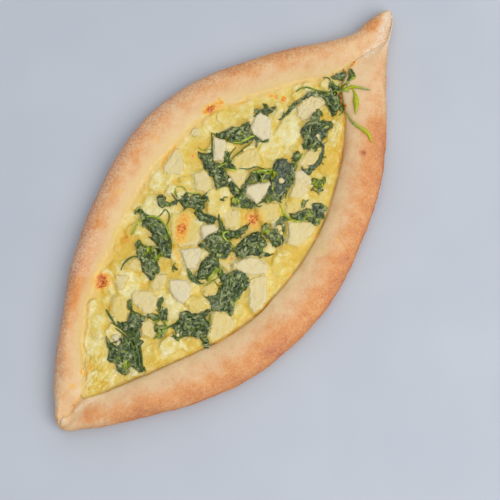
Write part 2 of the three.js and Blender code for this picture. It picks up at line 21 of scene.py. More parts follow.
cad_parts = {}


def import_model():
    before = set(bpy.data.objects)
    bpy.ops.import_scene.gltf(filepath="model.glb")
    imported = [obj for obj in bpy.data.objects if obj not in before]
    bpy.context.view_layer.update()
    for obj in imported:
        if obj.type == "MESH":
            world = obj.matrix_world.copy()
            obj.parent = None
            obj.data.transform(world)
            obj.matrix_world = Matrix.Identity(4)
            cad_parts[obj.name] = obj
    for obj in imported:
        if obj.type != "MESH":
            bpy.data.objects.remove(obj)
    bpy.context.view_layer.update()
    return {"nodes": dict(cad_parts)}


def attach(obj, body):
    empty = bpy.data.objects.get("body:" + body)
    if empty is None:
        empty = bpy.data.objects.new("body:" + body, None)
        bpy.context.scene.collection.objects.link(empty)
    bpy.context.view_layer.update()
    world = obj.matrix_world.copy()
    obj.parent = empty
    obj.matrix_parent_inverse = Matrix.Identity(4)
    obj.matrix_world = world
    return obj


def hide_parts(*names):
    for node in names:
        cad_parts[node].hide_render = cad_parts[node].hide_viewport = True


LOG = logging.getLogger("pide")
MM = 0.001
GAMMA = 2.4
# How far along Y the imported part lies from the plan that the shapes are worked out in.
PLAN_SHIFT = 0.237
Array = np.ndarray
Colour = tuple[float, float, float]
Row = tuple[float, ...]
Socket, Node = bpy.types.NodeSocket, bpy.types.Node
Material, Piece = bpy.types.Material, bpy.types.Object


def smooth(t: Array | float) -> Array:
    """A soft step: 0 below 0, 1 above 1."""
    c = np.clip(t, 0.0, 1.0)
    return c * c * (3.0 - 2.0 * c)


def lerp(a: Array | float, b: Array | float, t: Array | float) -> Array:
    """The value at share t of the way from a to b."""
    return a + (b - a) * t


def linear(red: float, green: float, blue: float) -> tuple[float, float, float, float]:
    """A colour on the usual 0 to 255 scale as the linear RGBA that shaders take."""
    shares = [c / 255.0 for c in (red, green, blue)]
    bent = [c / 12.92 if c <= 0.04045 else ((c + 0.055) / 1.055) ** GAMMA for c in shares]
    return (bent[0], bent[1], bent[2], 1.0)


def chance(n: float) -> float:
    """A repeatable number from 0 to 1 for each number n."""
    s = math.sin(n * 12.9898) * 43758.5453
    return s - math.floor(s)


def table(run: str) -> Array:
    """The rows of a run such as "1,2 3,4 5,6"."""
    return np.array([row.split(",") for row in run.split()], float)


def drawn(text: str) -> list[tuple[str, Array]]:
    """The heads and the points of rows such as "head: 1,2 3,4;"."""
    rows = (row.split(":") for row in text.split(";"))
    return [(head.strip(), table(run)) for head, run in rows]


class Profile:
    """A smooth curve through (x, value) points, as a function of x."""

    def __init__(self, points: Array) -> None:
        """Keeps the points and works out the slope at each.

        Args:
            points: The points, in rising x.
        """
        self.x, self.y = np.array(points, float).T
        before = np.maximum(np.arange(len(points)) - 1, 0)
        after = np.minimum(np.arange(len(points)) + 1, len(points) - 1)
        self.slope = (self.y[after] - self.y[before]) / (self.x[after] - self.x[before])

    def __call__(self, x: Array | float) -> Array:
        """The curve's value at x."""
        i = np.clip(np.searchsorted(self.x, x, side="left") - 1, 0, len(self.x) - 2)
        h = self.x[i + 1] - self.x[i]
        t = np.clip((x - self.x[i]) / h, 0.0, 1.0)
        t2, t3 = t * t, t * t * t
        return (
            (2 * t3 - 3 * t2 + 1) * self.y[i]
            + (t3 - 2 * t2 + t) * h * self.slope[i]
            + (3 * t2 - 2 * t3) * self.y[i + 1]
            + (t3 - t2) * h * self.slope[i + 1]
        )


def lattice(ix: Array, iy: Array, seed: int) -> Array:
    """A repeatable number from 0 to 1 for each corner (ix, iy) of a square lattice."""
    a = ix.astype(np.int64).astype(np.uint64) * np.uint64(374761393)
    b = iy.astype(np.int64).astype(np.uint64) * np.uint64(668265263)
    h = (a + b + np.uint64(seed * 974711 + 12345)) & np.uint64(0xFFFFFFFF)
    h = ((h ^ (h >> np.uint64(13))) * np.uint64(1274126177)) & np.uint64(0xFFFFFFFF)
    return ((h ^ (h >> np.uint64(16))) & np.uint64(0xFFFFFF)).astype(float) / 0xFFFFFF


@dataclass(frozen=True)
class Grain:
    """Soft random relief, of lumps about `size` across, with finer lumps in each octave."""

    size: float
    seed: int
    octaves: int = 3

    def layer(self, x: Array, y: Array, seed: int) -> Array:
        """One octave of the relief at (x, y), from 0 to 1."""
        ix, iy = np.floor(x), np.floor(y)
        u, v = smooth(x - ix), smooth(y - iy)
        low = lerp(lattice(ix, iy, seed), lattice(ix + 1, iy, seed), u)
        high = lerp(lattice(ix, iy + 1, seed), lattice(ix + 1, iy + 1, seed), u)
        return lerp(low, high, v)

    def layered(self, x: Array, y: Array, fade: float, bend: Callable[[Array], Array]) -> Array:
        """The mean of the octaves, each bent by a function and fainter than the one before.

        Args:
            x: First coordinate.
            y: Second coordinate.
            fade: The weight of each octave beside the one before.
            bend: What is done to each octave.

        Returns:
            The mean, from 0 to 1.
        """
        total, weight = np.zeros(np.broadcast(x, y).shape), 0.0
        for k in range(self.octaves):
            step = self.size / 2**k
            total = total + bend(self.layer(x / step, y / step, self.seed + 31 * k)) * fade**k
            weight += fade**k
        return total / weight

    def at(self, x: Array, y: Array) -> Array:
        """The relief at (x, y), from 0 to 1, mostly near 0.5."""
        return self.layered(x, y, 0.5, lambda height: height)

    def sway(self, x: Array, y: Array) -> Array:
        """The relief at (x, y), from -0.5 to 0.5."""
        return self.at(x, y) - 0.5

    def folds(self, x: Array, y: Array) -> Array:
        """Sharp ridges of the same size at (x, y), from 0 in the hollows to 1 on the ridges."""
        return self.layered(x, y, 0.55, lambda height: 1 - np.abs(2 * height - 1))


@dataclass(frozen=True)
class Cells:
    """A surface broken into uneven lumps about `size` across."""

    size: float
    seed: int

    def at(self, x: Array, y: Array) -> tuple[Array, Array]:
        """How far (x, y) is inside its lump, in the unit of size, and the lump's own number.

        Args:
            x: First coordinate.
            y: Second coordinate.

        Returns:
            The distance from the lump's border, and a number from 0 to 1 for each lump.
        """
        gx, gy = x / self.size, y / self.size
        ix, iy = np.floor(gx), np.floor(gy)
        best, second, tone = np.full(gx.shape, 9.0), np.full(gx.shape, 9.0), np.zeros(gx.shape)
        for dx in (-1, 0, 1):
            for dy in (-1, 0, 1):
                cx, cy = ix + dx, iy + dy
                px = cx + 0.1 + 0.8 * lattice(cx, cy, self.seed)
                py = cy + 0.1 + 0.8 * lattice(cx, cy, self.seed + 7)
                d = np.hypot(px - gx, py - gy)
                closer = d < best
                second = np.where(closer, best, np.minimum(second, d))
                tone = np.where(closer, lattice(cx, cy, self.seed + 13), tone)
                best = np.minimum(best, d)
        return (second - best) * self.size, tone


def line_distance(points: Sequence[Sequence[float]], x: Array, y: Array) -> Array:
    """The distance from each (x, y) to the line through the points."""
    near = np.full(np.shape(x), 1e9)
    for (ax, ay), (bx, by) in zip(points[:-1], points[1:]):
        dx, dy = bx - ax, by - ay
        t = np.clip(((x - ax) * dx + (y - ay) * dy) / (dx * dx + dy * dy), 0, 1)
        near = np.minimum(near, np.hypot(x - ax - t * dx, y - ay - t * dy))
    return near


def depth_inside(corners: Array, x: Array, y: Array) -> Array:
    """How far each (x, y) is inside a closed outline, below 0 outside it."""
    loop = np.concatenate([corners, corners[:1]])
    within = np.zeros(np.shape(x), bool)
    for (ax, ay), (bx, by) in zip(loop[:-1], loop[1:]):
        if ay != by:
            within ^= ((ay > y) != (by > y)) & (x < ax + (y - ay) * (bx - ax) / (by - ay))
    return np.where(within, 1.0, -1.0) * line_distance(loop, x, y)


class Mark(Enum):
    """What a spot on a surface is."""

    TOAST = auto()
    BLUSH = auto()
    FLOUR = auto()
    YELLOW = auto()
    CRUMBLY = auto()
    FRESH = auto()
    # Painted reflection of the sky on wet leaves.
    SKY_REFLECTION = auto()


@dataclass(frozen=True)
class Spot:
    """A round or long spot: from (x, y) to (x2, y2), fading out at its radius."""

    x: float
    y: float
    radius: float
    strength: float
    x2: float | None = None
    y2: float | None = None

    def reach(self, x: Array, y: Array) -> Array:
        """How strongly the spot shows at (x, y), from 0 to its strength."""
        ex = self.x if self.x2 is None else self.x2
        ey = self.y if self.y2 is None else self.y2
        dx, dy = ex - self.x, ey - self.y
        along = dx * dx + dy * dy
        t = 0.0 if along == 0 else np.clip(((x - self.x) * dx + (y - self.y) * dy) / along, 0, 1)
        distance = np.hypot(x - self.x - t * dx, y - self.y - t * dy)
        return self.strength * smooth(1.45 - 1.15 * distance / self.radius)


# A piece's spots: for each kind, rows of x, y, radius and strength, then x2 and y2 of a long one.
Spots = dict[Mark, tuple[Row, ...]]
# What makes the spots' borders uneven along and across, and how far it moves them.
STRAYING, STRAY = (Grain(3.5, 201), Grain(3.5, 203)), 3.4


def spread(spots: Spots, mark: Mark, x: Array, y: Array) -> Array:
    """The strongest of the spots of one kind at each (x, y), with uneven borders."""
    strongest = np.zeros(x.shape)
    u, v = (at + STRAY * grain.sway(x, y) for at, grain in zip((x, y), STRAYING))
    for row in spots[mark]:
        strongest = np.maximum(strongest, Spot(*row).reach(u, v))
    return strongest


@dataclass(frozen=True)
class Crease:
    """A line pressed into the dough: its points, half width, depth and how burnt it is."""

    run: str
    width: float
    depth: float
    burn: float = 0.0

    def reach(self, x: Array, y: Array) -> Array:
        """How near (x, y) is to the line, from 1 on it to 0 away from it."""
        return np.exp(-((line_distance(table(self.run), x, y) / self.width) ** 2))


class Wiring:
    """A node tree, with short ways to fill it."""

    def __init__(self, tree: bpy.types.NodeTree) -> None:
        """Keeps the tree.

        Args:
            tree: The tree to fill.
        """
        self.tree = tree

    def link(self, source: object, socket: Socket) -> None:
        """Joins a source to a socket: a socket is linked, a number or colour is set."""
        if isinstance(source, Socket):
            self.tree.links.new(source, socket)
        else:
            socket.default_value = source

    def node(self, kind: str, wires: dict[str | int, object] | None = None, **settings: object) -> Node:
        """One node, with its settings, and its inputs linked or set.

        Args:
            kind: Blender's name for the node.
            wires: A source or a value for each input, by name or by number.
            settings: The node's own options.

        Returns:
            The node.
        """
        node = self.tree.nodes.new(kind)
        for name, value in settings.items():
            setattr(node, name, value)
        for name, source in (wires or {}).items():
            self.link(source, node.inputs[name])
        return node


class Graph(Wiring):
    """A material's node tree, with one short method for each kind of node."""

    def __init__(self, name: str) -> None:
        """Starts a material that holds one Principled shader.

        Args:
            name: The material's name.
        """
        self.material = bpy.data.materials.new(name)
        self.material.use_nodes = True
        super().__init__(self.material.node_tree)
        self.place = self.node("ShaderNodeTexCoord").outputs["Object"]

    def attribute(self, name: str) -> Socket:
        """A number that each vertex of the mesh carries."""
        return self.node("ShaderNodeAttribute", attribute_name=name).outputs["Fac"]

    def noise(self, size: float, detail: float = 3.0, rough: float = 0.55) -> Socket:
        """Noise with lumps of about size millimetres."""
        wires = {"Vector": self.place, "Scale": 1.0 / (size * MM), "Detail": detail, "Roughness": rough}
        return self.node("ShaderNodeTexNoise", wires).outputs["Fac"]

    def math(self, kind: str, a: object, b: object) -> Socket:
        """One step of arithmetic, such as ADD, MULTIPLY or MAXIMUM."""
        return self.node("ShaderNodeMath", {0: a, 1: b}, operation=kind).outputs["Value"]

    def add(self, total: object, *others: object) -> Socket:
        """The sum of numbers, in order."""
        for other in others:
            total = self.math("ADD", total, other)
        return total

    def times(self, a: object, b: object) -> Socket:
        """The product of two numbers."""
        return self.math("MULTIPLY", a, b)

    def halves(self, a: object, b: object) -> Socket:
        """The mean of two heights."""
        return self.add(self.times(a, 0.5), self.times(b, 0.5))

    def band(self, value: object, low: float, high: float, start: float = 0.0, end: float = 1.0) -> Socket:
        """A value from low to high turned softly into start to end."""
        wires = {"Value": value, "From Min": low, "From Max": high, "To Min": start, "To Max": end}
        return self.node("ShaderNodeMapRange", wires, interpolation_type="SMOOTHSTEP").outputs["Result"]

    def sway(self, noise: Socket, reach: float) -> Socket:
        """Noise turned into -reach to reach."""
        return self.band(noise, 0.3, 0.7, -reach, reach)

    def ramp(self, value: object, stops: Sequence[tuple[float, Colour]]) -> Socket:
        """The colour at a value, between coloured stops."""
        node = self.node("ShaderNodeValToRGB", {"Fac": value})
        points = node.color_ramp.elements
        while len(points) < len(stops):
            points.new(0.5)
        for point, (position, colour) in zip(points, stops):
            point.position, point.color = position, linear(*colour)
        return node.outputs["Color"]

    def mix(self, share: object, under: Socket | Colour, over: Socket | Colour) -> Socket:
        """One colour laid over another, by a share."""
        a, b = (linear(*c) if isinstance(c, tuple) else c for c in (under, over))
        return self.node("ShaderNodeMix", {"Factor": share, 6: a, 7: b}, data_type="RGBA").outputs[2]

    def toasted(self, colour: Socket) -> Socket:
        """Lays the toasted spots of the mesh's own "toast" numbers over a colour.

        Args:
            colour: What shows where nothing is toasted.

        Returns:
            The colour with its spots, orange at the rim and red-brown in the middle.
        """
        amount = self.attribute("toast")
        speckle = self.times(self.band(self.noise(1.1, 3), 0.34, 0.66, -0.36, 0.36), amount)
        level = self.add(self.times(amount, 0.85), speckle)
        shades = (
            (0.1, (238, 202, 92)), (0.45, (240, 172, 60)), (0.75, (216, 118, 44)), (1.0, (178, 78, 30)))
        return self.mix(self.band(level, 0.04, 0.5), colour, self.ramp(level, shades))

    def bump(self, height: object, distance: float, strength: float = 1.0) -> Socket:
        """A normal that reads a height of 0 to 1 as that many millimetres."""
        wires = {"Height": height, "Distance": distance * MM, "Strength": strength}
        return self.node("ShaderNodeBump", wires).outputs["Normal"]

    def finish(self, **sockets: object) -> Material:
        """Fills the shader's sockets, named with _ for a space, and gives the material."""
        shader = self.tree.nodes["Principled BSDF"]
        for name, source in sockets.items():
            self.link(source, shader.inputs[name.replace("_", " ")])
        return self.material


@dataclass(frozen=True)
class CrustFinish:
    """Baked dough: peach inside, browner outwards, floured, with cheese on its inner slope."""

    pale: Colour = (234, 206, 160)
    peach: Colour = (226, 183, 136)
    orange: Colour = (218, 145, 80)
    brown: Colour = (195, 111, 66)
    dark: Colour = (128, 62, 34)
    flour: Colour = (236, 220, 196)
    cheese: Colour = (227, 199, 138)

    def material(self) -> Material:
        """The crust's material, which reads bake (browning with some painted shade and painted light),
        dust, flour, smear and toast.
        """
        g = Graph("baked_crust")
        coarse, fine, grit = g.noise(9.0, 4), g.noise(1.6, 3), g.noise(0.7, 2)
        speckle = g.times(g.sway(fine, 0.17), g.attribute("dust"))
        # The bake number holds browning and also painted shade on the far left and painted light on the
        # far right.
        bake_and_shade = g.add(g.attribute("bake_and_shade"), g.sway(coarse, 0.09), speckle, g.sway(grit, 0.05))
        stops = (self.pale, self.peach, self.orange, self.brown, self.dark)
        colour = g.ramp(bake_and_shade, tuple(zip((0.05, 0.32, 0.58, 0.84, 1.0), stops)))
        smear = g.times(g.attribute("smear"), g.band(coarse, 0.25, 0.6, 0.45, 1.0))
        colour = g.toasted(g.mix(smear, colour, self.cheese))
        floured = g.times(g.attribute("flour"), g.band(g.noise(1.1, 4, 0.7), 0.38, 0.58))
        return g.finish(
            Base_Color=g.mix(floured, colour, self.flour),
            Roughness=g.band(smear, 0.2, 0.8, 0.78, 0.5),
            Specular_IOR_Level=0.3,
            Normal=g.bump(g.add(g.times(fine, 0.6), g.times(grit, 0.4)), 0.28, 0.7),
        )


@dataclass(frozen=True)
class CheeseFinish:
    """Melted cheese: pale curds in a yellow, oily melt, toasted in places."""

    cream: Colour = (230, 218, 156)
    butter: Colour = (223, 199, 100)
    yellow: Colour = (218, 180, 58)
    milky: Colour = (244, 236, 198)
    thin: Colour = (230, 194, 118)
    browned_lip_shadow: Colour = (178, 130, 44)

    def material(self) -> Material:
        """The melt's material, which reads cream, thin, ring and toast; the ring is browned melt and
        partly a painted shadow of the near lip.
        """
        g = Graph("melted_cheese")
        broad, fine, milk = g.noise(5.0, 4), g.noise(1.2, 3), g.noise(4.2, 5, 0.6)
        cream = g.add(g.attribute("cream"), g.sway(broad, 0.25), g.sway(fine, 0.13))
        colour = g.ramp(cream, ((0.0, self.yellow), (0.42, self.butter), (0.85, self.cream)))
        flecks = g.times(g.band(milk, 0.52, 0.7), g.band(cream, 0.0, 0.7, 0.1, 0.8))
        colour = g.mix(flecks, colour, self.milky)
        colour = g.mix(g.band(milk, 0.34, 0.46, 0.4, 0.0), colour, self.yellow)
        colour = g.mix(g.attribute("thin"), colour, self.thin)
        # The ring is partly browned melt and partly a painted shadow where the near lip overhangs the
        # melt.
        colour = g.mix(g.attribute("ring"), colour, self.browned_lip_shadow)
        return g.finish(
            Base_Color=g.toasted(colour),
            Roughness=g.band(milk, 0.35, 0.65, 0.26, 0.5),
            Specular_IOR_Level=0.5,
            Subsurface_Weight=0.12,
            Subsurface_Radius=(0.0025, 0.0018, 0.0008),
            Subsurface_Scale=1.0,
            Normal=g.bump(g.halves(broad, fine), 0.55, 0.8),
        )


@dataclass(frozen=True)
class FetaFinish:
    """Feta: pale crumbly curd, yellower where the melt has covered it."""

    curd: Colour = (223, 211, 174)
    melted: Colour = (222, 198, 114)
    crack: Colour = (196, 176, 116)

    def material(self) -> Material:
        """The curd's material, which reads melt and toast."""
        g = Graph("feta_curd")
        broad, fine = g.noise(3.5, 4), g.noise(0.9, 3)
        melt = g.add(g.attribute("melt"), g.sway(broad, 0.15))
        colour = g.ramp(melt, ((0.0, self.curd), (1.0, self.melted)))
        colour = g.mix(g.band(g.noise(1.5, 4, 0.65), 0.3, 0.4, 0.45, 0.0), colour, self.crack)
        return g.finish(
            Base_Color=g.toasted(colour),
            Roughness=g.band(melt, 0.0, 1.0, 0.7, 0.45),
            Specular_IOR_Level=0.35,
            Subsurface_Weight=0.12,
            Subsurface_Radius=(0.002, 0.0016, 0.001),
            Subsurface_Scale=1.0,
            Normal=g.bump(g.halves(fine, broad), 0.45, 0.7),
        )


@dataclass(frozen=True)
class SpinachFinish:
    """Wilted spinach: wet dark green with fresh yellow-green flecks, painted shade in the hollows of its
    folds, painted highlights on their ridges and painted grey-blue reflections of the sky.
    """

    # deep is painted shade for the hollows of the folds, light a painted highlight for their ridges.
    deep: Colour = (26, 37, 5)
    leaf: Colour = (67, 89, 40)
    light: Colour = (176, 181, 126)
    # The two grey tones below are painted grey-blue reflections of the sky on the wet leaf.
    slate: Colour = (52, 60, 58)
    pale_reflection: Colour = (112, 122, 116)
    olive: Colour = (104, 124, 34)
    moss: Colour = (96, 116, 12)
    fresh: Colour = (160, 174, 8)
    lime: Colour = (196, 200, 30)

    def material(self) -> Material:
        """The leaf's material, which reads the painted fold shading, fresh, the painted sky reflection and
        tone.
        """
        g = Graph("wilted_spinach")
        broad, fine = g.noise(5.0, 3), g.noise(0.7, 3, 0.7)
        wrinkle, speck = g.noise(2.1, 4, 0.65), g.noise(1.3, 3, 0.7)
        fold = g.add(
            g.attribute("fold"),
            g.sway(fine, 0.22),
            g.band(wrinkle, 0.34, 0.66, -0.1, 0.1),
            g.times(g.math("SUBTRACT", g.attribute("tone"), 0.5), 0.5),
        )
        colour = g.ramp(fold, ((0.12, self.deep), (0.48, self.leaf), (0.92, self.light)))
        # Painted reflection of the sky, in the spots and in broad patches.
        share = g.math("MAXIMUM", g.attribute("slate"), g.band(broad, 0.54, 0.68, 0.0, 0.4))
        pale_reflection = g.mix(g.band(wrinkle, 0.35, 0.65), self.slate, self.pale_reflection)
        colour = g.mix(g.times(share, 0.7), colour, pale_reflection)
        colour = g.mix(g.band(speck, 0.52, 0.66, 0.0, 0.5), colour, self.olive)
        colour = g.mix(g.band(speck, 0.36, 0.46, 0.35, 0.0), colour, self.pale_reflection)
        # The fresh bits also get painted shade in their hollows and a painted highlight on their ridges.
        fresh = g.ramp(fold, ((0.0, self.moss), (0.5, self.fresh), (1.0, self.lime)))
        return g.finish(
            Base_Color=g.mix(g.attribute("fresh"), colour, fresh),
            Roughness=g.band(broad, 0.3, 0.7, 0.28, 0.46),
            Specular_IOR_Level=0.38,
            Coat_Weight=0.15,
            Coat_Roughness=0.2,
            Normal=g.bump(g.halves(fine, wrinkle), 0.6, 0.7),
        )


@dataclass(frozen=True)
class StemFinish:
    """A leaf stem: dark olive to bright yellow-green, with fine grain."""

    dark: Colour = (70, 90, 42)
    middle: Colour = (112, 138, 30)
    light: Colour = (180, 200, 62)

    def material(self) -> Material:
        """The stem's material, which reads tone."""
        g = Graph("leaf_stem")
        tone = g.add(g.attribute("tone"), g.sway(g.noise(1.6, 3), 0.2))
        colour = g.ramp(tone, ((0.05, self.dark), (0.5, self.middle), (0.95, self.light)))
        return g.finish(
            Base_Color=colour, Roughness=0.4, Specular_IOR_Level=0.45, Normal=g.bump(g.noise(0.5), 0.15))


def placed(name: str, data: bpy.types.ID) -> Piece:
    """A new object in the scene, at the origin."""
    piece = bpy.data.objects.new(name, data)
    bpy.context.scene.collection.objects.link(piece)
    return piece


def build_mesh(
    name: str,
    points: Array,
    faces: Sequence[Sequence[int]],
    material: Material,
    numbers: dict[str, Array] | None = None,
) -> Piece:
    """Makes one object from points in millimetres.

    Args:
        name: The object's name.
        points: The vertices, one row each.
        faces: The faces, as vertex numbers.
        material: What dresses it.
        numbers: Named numbers that each vertex carries for the material.

    Returns:
        The object, linked to the scene.
    """
    mesh = bpy.data.meshes.new(name)
    mesh.from_pydata((points * MM).tolist(), [], [list(map(int, f)) for f in faces])
    for title, values in (numbers or {}).items():
        vector = np.ndim(values) == 2
        layer = mesh.attributes.new(title, "FLOAT_VECTOR" if vector else "FLOAT", "POINT")
        layer.data.foreach_set("vector" if vector else "value", np.asarray(values, np.float32).ravel())
    mesh.materials.append(material)
    mesh.polygons.foreach_set("use_smooth", [True] * len(mesh.polygons))
    mesh.update()
    return placed(name, mesh)


def sheet_points(x: Array, y: Array, top: Array, bottom: Array) -> Array:
    """The points of a closed sheet: all of its top, then all of its bottom."""
    return np.concatenate([np.stack([x, y, z], -1).reshape(-1, 3) for z in (top, bottom)])


def sheet_faces(rows: int, cols: int) -> Array:
    """The quads of a closed sheet: a top grid that faces up, an equal bottom grid, and four sides."""
    count = rows * cols
    i, j = np.meshgrid(np.arange(rows - 1), np.arange(cols - 1), indexing="ij")
    a = (i * cols + j).ravel()
    top = np.stack([a, a + cols, a + cols + 1, a + 1], 1)
    i, j = np.arange(rows - 1), np.arange(cols - 1)
    sides = []
    for start, step, flip in (
        (i * cols, cols, False),
        (i * cols + cols - 1, cols, True),
        (j, 1, True),
        ((rows - 1) * cols + j, 1, False),
    ):
        quad = np.stack([start, start + count, start + count + step, start + step], 1)
        sides.append(quad[:, ::-1] if flip else quad)
    return np.concatenate([top, top[:, ::-1] + count, *sides])


def plain_mesh(piece: Piece) -> bpy.types.Mesh:
    """What the piece's modifiers make of it, as a mesh of its own."""
    graph = bpy.context.evaluated_depsgraph_get()
    return bpy.data.meshes.new_from_object(piece.evaluated_get(graph), depsgraph=graph)


class ShapeTree(Wiring):
    """A geometry node tree with named inputs, ended by real geometry and one material."""

    def __init__(self, name: str) -> None:
        """Starts a tree that takes and gives geometry.

        Args:
            name: The tree's name.
        """
        super().__init__(bpy.data.node_groups.new(name, "GeometryNodeTree"))
        for way in ("INPUT", "OUTPUT"):
            self.tree.interface.new_socket("Geometry", in_out=way, socket_type="NodeSocketGeometry")
        self.start, self.end = self.node("NodeGroupInput"), self.node("NodeGroupOutput")
        self.names: dict[str, str] = {}

    def knob(self, name: str, kind: str = "Float") -> Socket:
        """A named input of the tree, such as a size.

        Args:
            name: What it is called.
            kind: Float, Int, Material or Collection.

        Returns:
            The socket that gives its value inside the tree.
        """
        item = self.tree.interface.new_socket(name, in_out="INPUT", socket_type=f"NodeSocket{kind}")
        self.names[name] = item.identifier
        return self.start.outputs[name]

    def made(self, kind: str, wires: dict[str | int, object], **settings: object) -> Socket:
        """The first output of a new node."""
        return self.node(kind, wires, **settings).outputs[0]

    def carried(self, name: str, kind: str = "FLOAT") -> Socket:
        """A number or a vector that each vertex of the base carries."""
        return self.made("GeometryNodeInputNamedAttribute", {"Name": name}, data_type=kind)

    def random(self, kind: str, low: object, high: object, seed: int) -> Socket:
        """A random number, or a vector of three, for each point.

        Args:
            kind: FLOAT or FLOAT_VECTOR.
            low: Its least.
            high: Its most.
            seed: Which random row it is.

        Returns:
            The socket that gives it.
        """
        node = self.node("FunctionNodeRandomValue", {"Seed": seed}, data_type=kind)
        for source, socket in zip((low, high), [s for s in node.inputs if s.enabled]):
            self.link(source, socket)
        return next(s for s in node.outputs if s.enabled)

    def close(self, geometry: Socket) -> None:
        """Ends the tree: copies made real, then one material on all of it."""
        real = self.made("GeometryNodeRealizeInstances", {"Geometry": geometry})
        finish = self.knob("Finish", "Material")
        dressed = self.made("GeometryNodeSetMaterial", {"Geometry": real, "Material": finish})
        self.link(dressed, self.end.inputs[0])

    def grow(self, base: Piece, name: str, values: dict[str, object]) -> Piece:
        """Runs the tree on a base and keeps what it makes as a plain mesh.

        Args:
            base: The object that the tree works on. It stays as it was.
            name: The new piece's name.
            values: A value for each of the tree's named inputs.

        Returns:
            The new piece, at the origin.
        """
        carrier = placed(name, base.data)
        modifier = carrier.modifiers.new("shape", "NODES")
        modifier.node_group = self.tree
        for title, value in values.items():
            modifier[self.names[title]] = value
        mesh = plain_mesh(carrier)
        bpy.data.objects.remove(carrier)
        mesh.name = name
        return placed(name, mesh)


class StrewTree(ShapeTree):
    """Copies of small shapes strewn over a surface, thicker where its "strew" number is high.

    Each copy lies along the surface's "run" direction.
    """

    def __init__(self) -> None:
        """Builds the tree."""
        super().__init__("strewn_shapes")
        density, seed = self.knob("Density"), self.knob("Seed", "Int")
        least, most = self.knob("Smallest"), self.knob("Largest")
        tilt, yaw = self.knob("Tilt"), self.knob("Yaw")
        shapes = self.knob("Shapes", "Collection")
        local = self.made("ShaderNodeMath", {0: density, 1: self.carried("strew")}, operation="MULTIPLY")
        points = self.node(
            "GeometryNodeDistributePointsOnFaces",
            {"Mesh": self.start.outputs[0], "Density": local, "Seed": seed},
        )
        aligned = self.made(
            "FunctionNodeAlignRotationToVector",
            {"Rotation": points.outputs["Rotation"], "Vector": self.carried("run", "FLOAT_VECTOR")},
            axis="X",
            pivot_axis="Z",
        )
        signs = self.random("FLOAT_VECTOR", (-1, -1, -1), (1, 1, 1), 3)
        span = self.made("ShaderNodeCombineXYZ", {"X": tilt, "Y": tilt, "Z": yaw})
        angles = self.made("ShaderNodeVectorMath", {0: signs, 1: span}, operation="MULTIPLY")
        turned = self.made(
            "FunctionNodeRotateRotation",
            {"Rotation": aligned, "Rotate By": self.made("FunctionNodeEulerToRotation", {0: angles})},
            rotation_space="LOCAL",
        )
        toned = self.made(
            "GeometryNodeStoreNamedAttribute",
            {
                "Geometry": points.outputs["Points"],
                "Name": "tone",
                "Value": self.random("FLOAT", 0.0, 1.0, 7),
            },
            data_type="FLOAT",
            domain="POINT",
        )
        copies = {
            "Points": toned,
            "Instance": self.made(
                "GeometryNodeCollectionInfo", {"Collection": shapes, "Separate Children": True}),
            "Pick Instance": True,
            "Rotation": turned,
            "Scale": self.random("FLOAT", least, most, 5),
        }
        self.close(self.made("GeometryNodeInstanceOnPoints", copies))


class StrandTree(ShapeTree):
    """Thin round strands along a curve, thinner towards their ends."""

    def __init__(self) -> None:
        """Builds the tree."""
        super().__init__("strands")
        step, girth = self.knob("Step"), self.knob("Radius")
        curve = self.made("GeometryNodeMeshToCurve", {"Mesh": self.start.outputs[0]})
        even = self.made("GeometryNodeResampleCurve", {"Curve": curve, "Length": step}, mode="LENGTH")
        ring = self.made("GeometryNodeCurvePrimitiveCircle", {"Resolution": 8, "Radius": girth})
        wires = {"Curve": even, "Profile Curve": ring, "Scale": self.carried("thick"), "Fill Caps": True}
        self.close(self.made("GeometryNodeCurveToMesh", wires))


def shelf(name: str, shapes: Sequence[Piece]) -> bpy.types.Collection:
    """Keeps small shapes in a collection of their own, outside the scene, for strewing."""
    store = bpy.data.collections.new(name)
    for shape in shapes:
        for holder in list(shape.users_collection):
            holder.objects.unlink(shape)
        store.objects.link(shape)
    return store


class Ground:
    """The surface that toppings lie on, found by plumb lines from high above it."""

    plumb_height = 0.1

    def __init__(self, *pieces: Piece) -> None:
        """Keeps the pieces' faces.

        Args:
            pieces: What the toppings may lie on.
        """
        self.trees = [BVHTree.FromObject(p, bpy.context.evaluated_depsgraph_get()) for p in pieces]

    def at(self, x: Array, y: Array) -> Array:
        """The highest surface at each (x, y) of the plan, all in millimetres."""
        down = Vector((0, 0, -1))
        heights = []
        for px, py in zip(np.ravel(x), np.ravel(y)):
            start = Vector((px * MM, (py + PLAN_SHIFT) * MM, self.plumb_height))
            hits = [tree.ray_cast(start, down)[0] for tree in self.trees]
            heights.append(max([h.z / MM for h in hits if h is not None], default=0.0))
        return np.array(heights).reshape(np.shape(x))


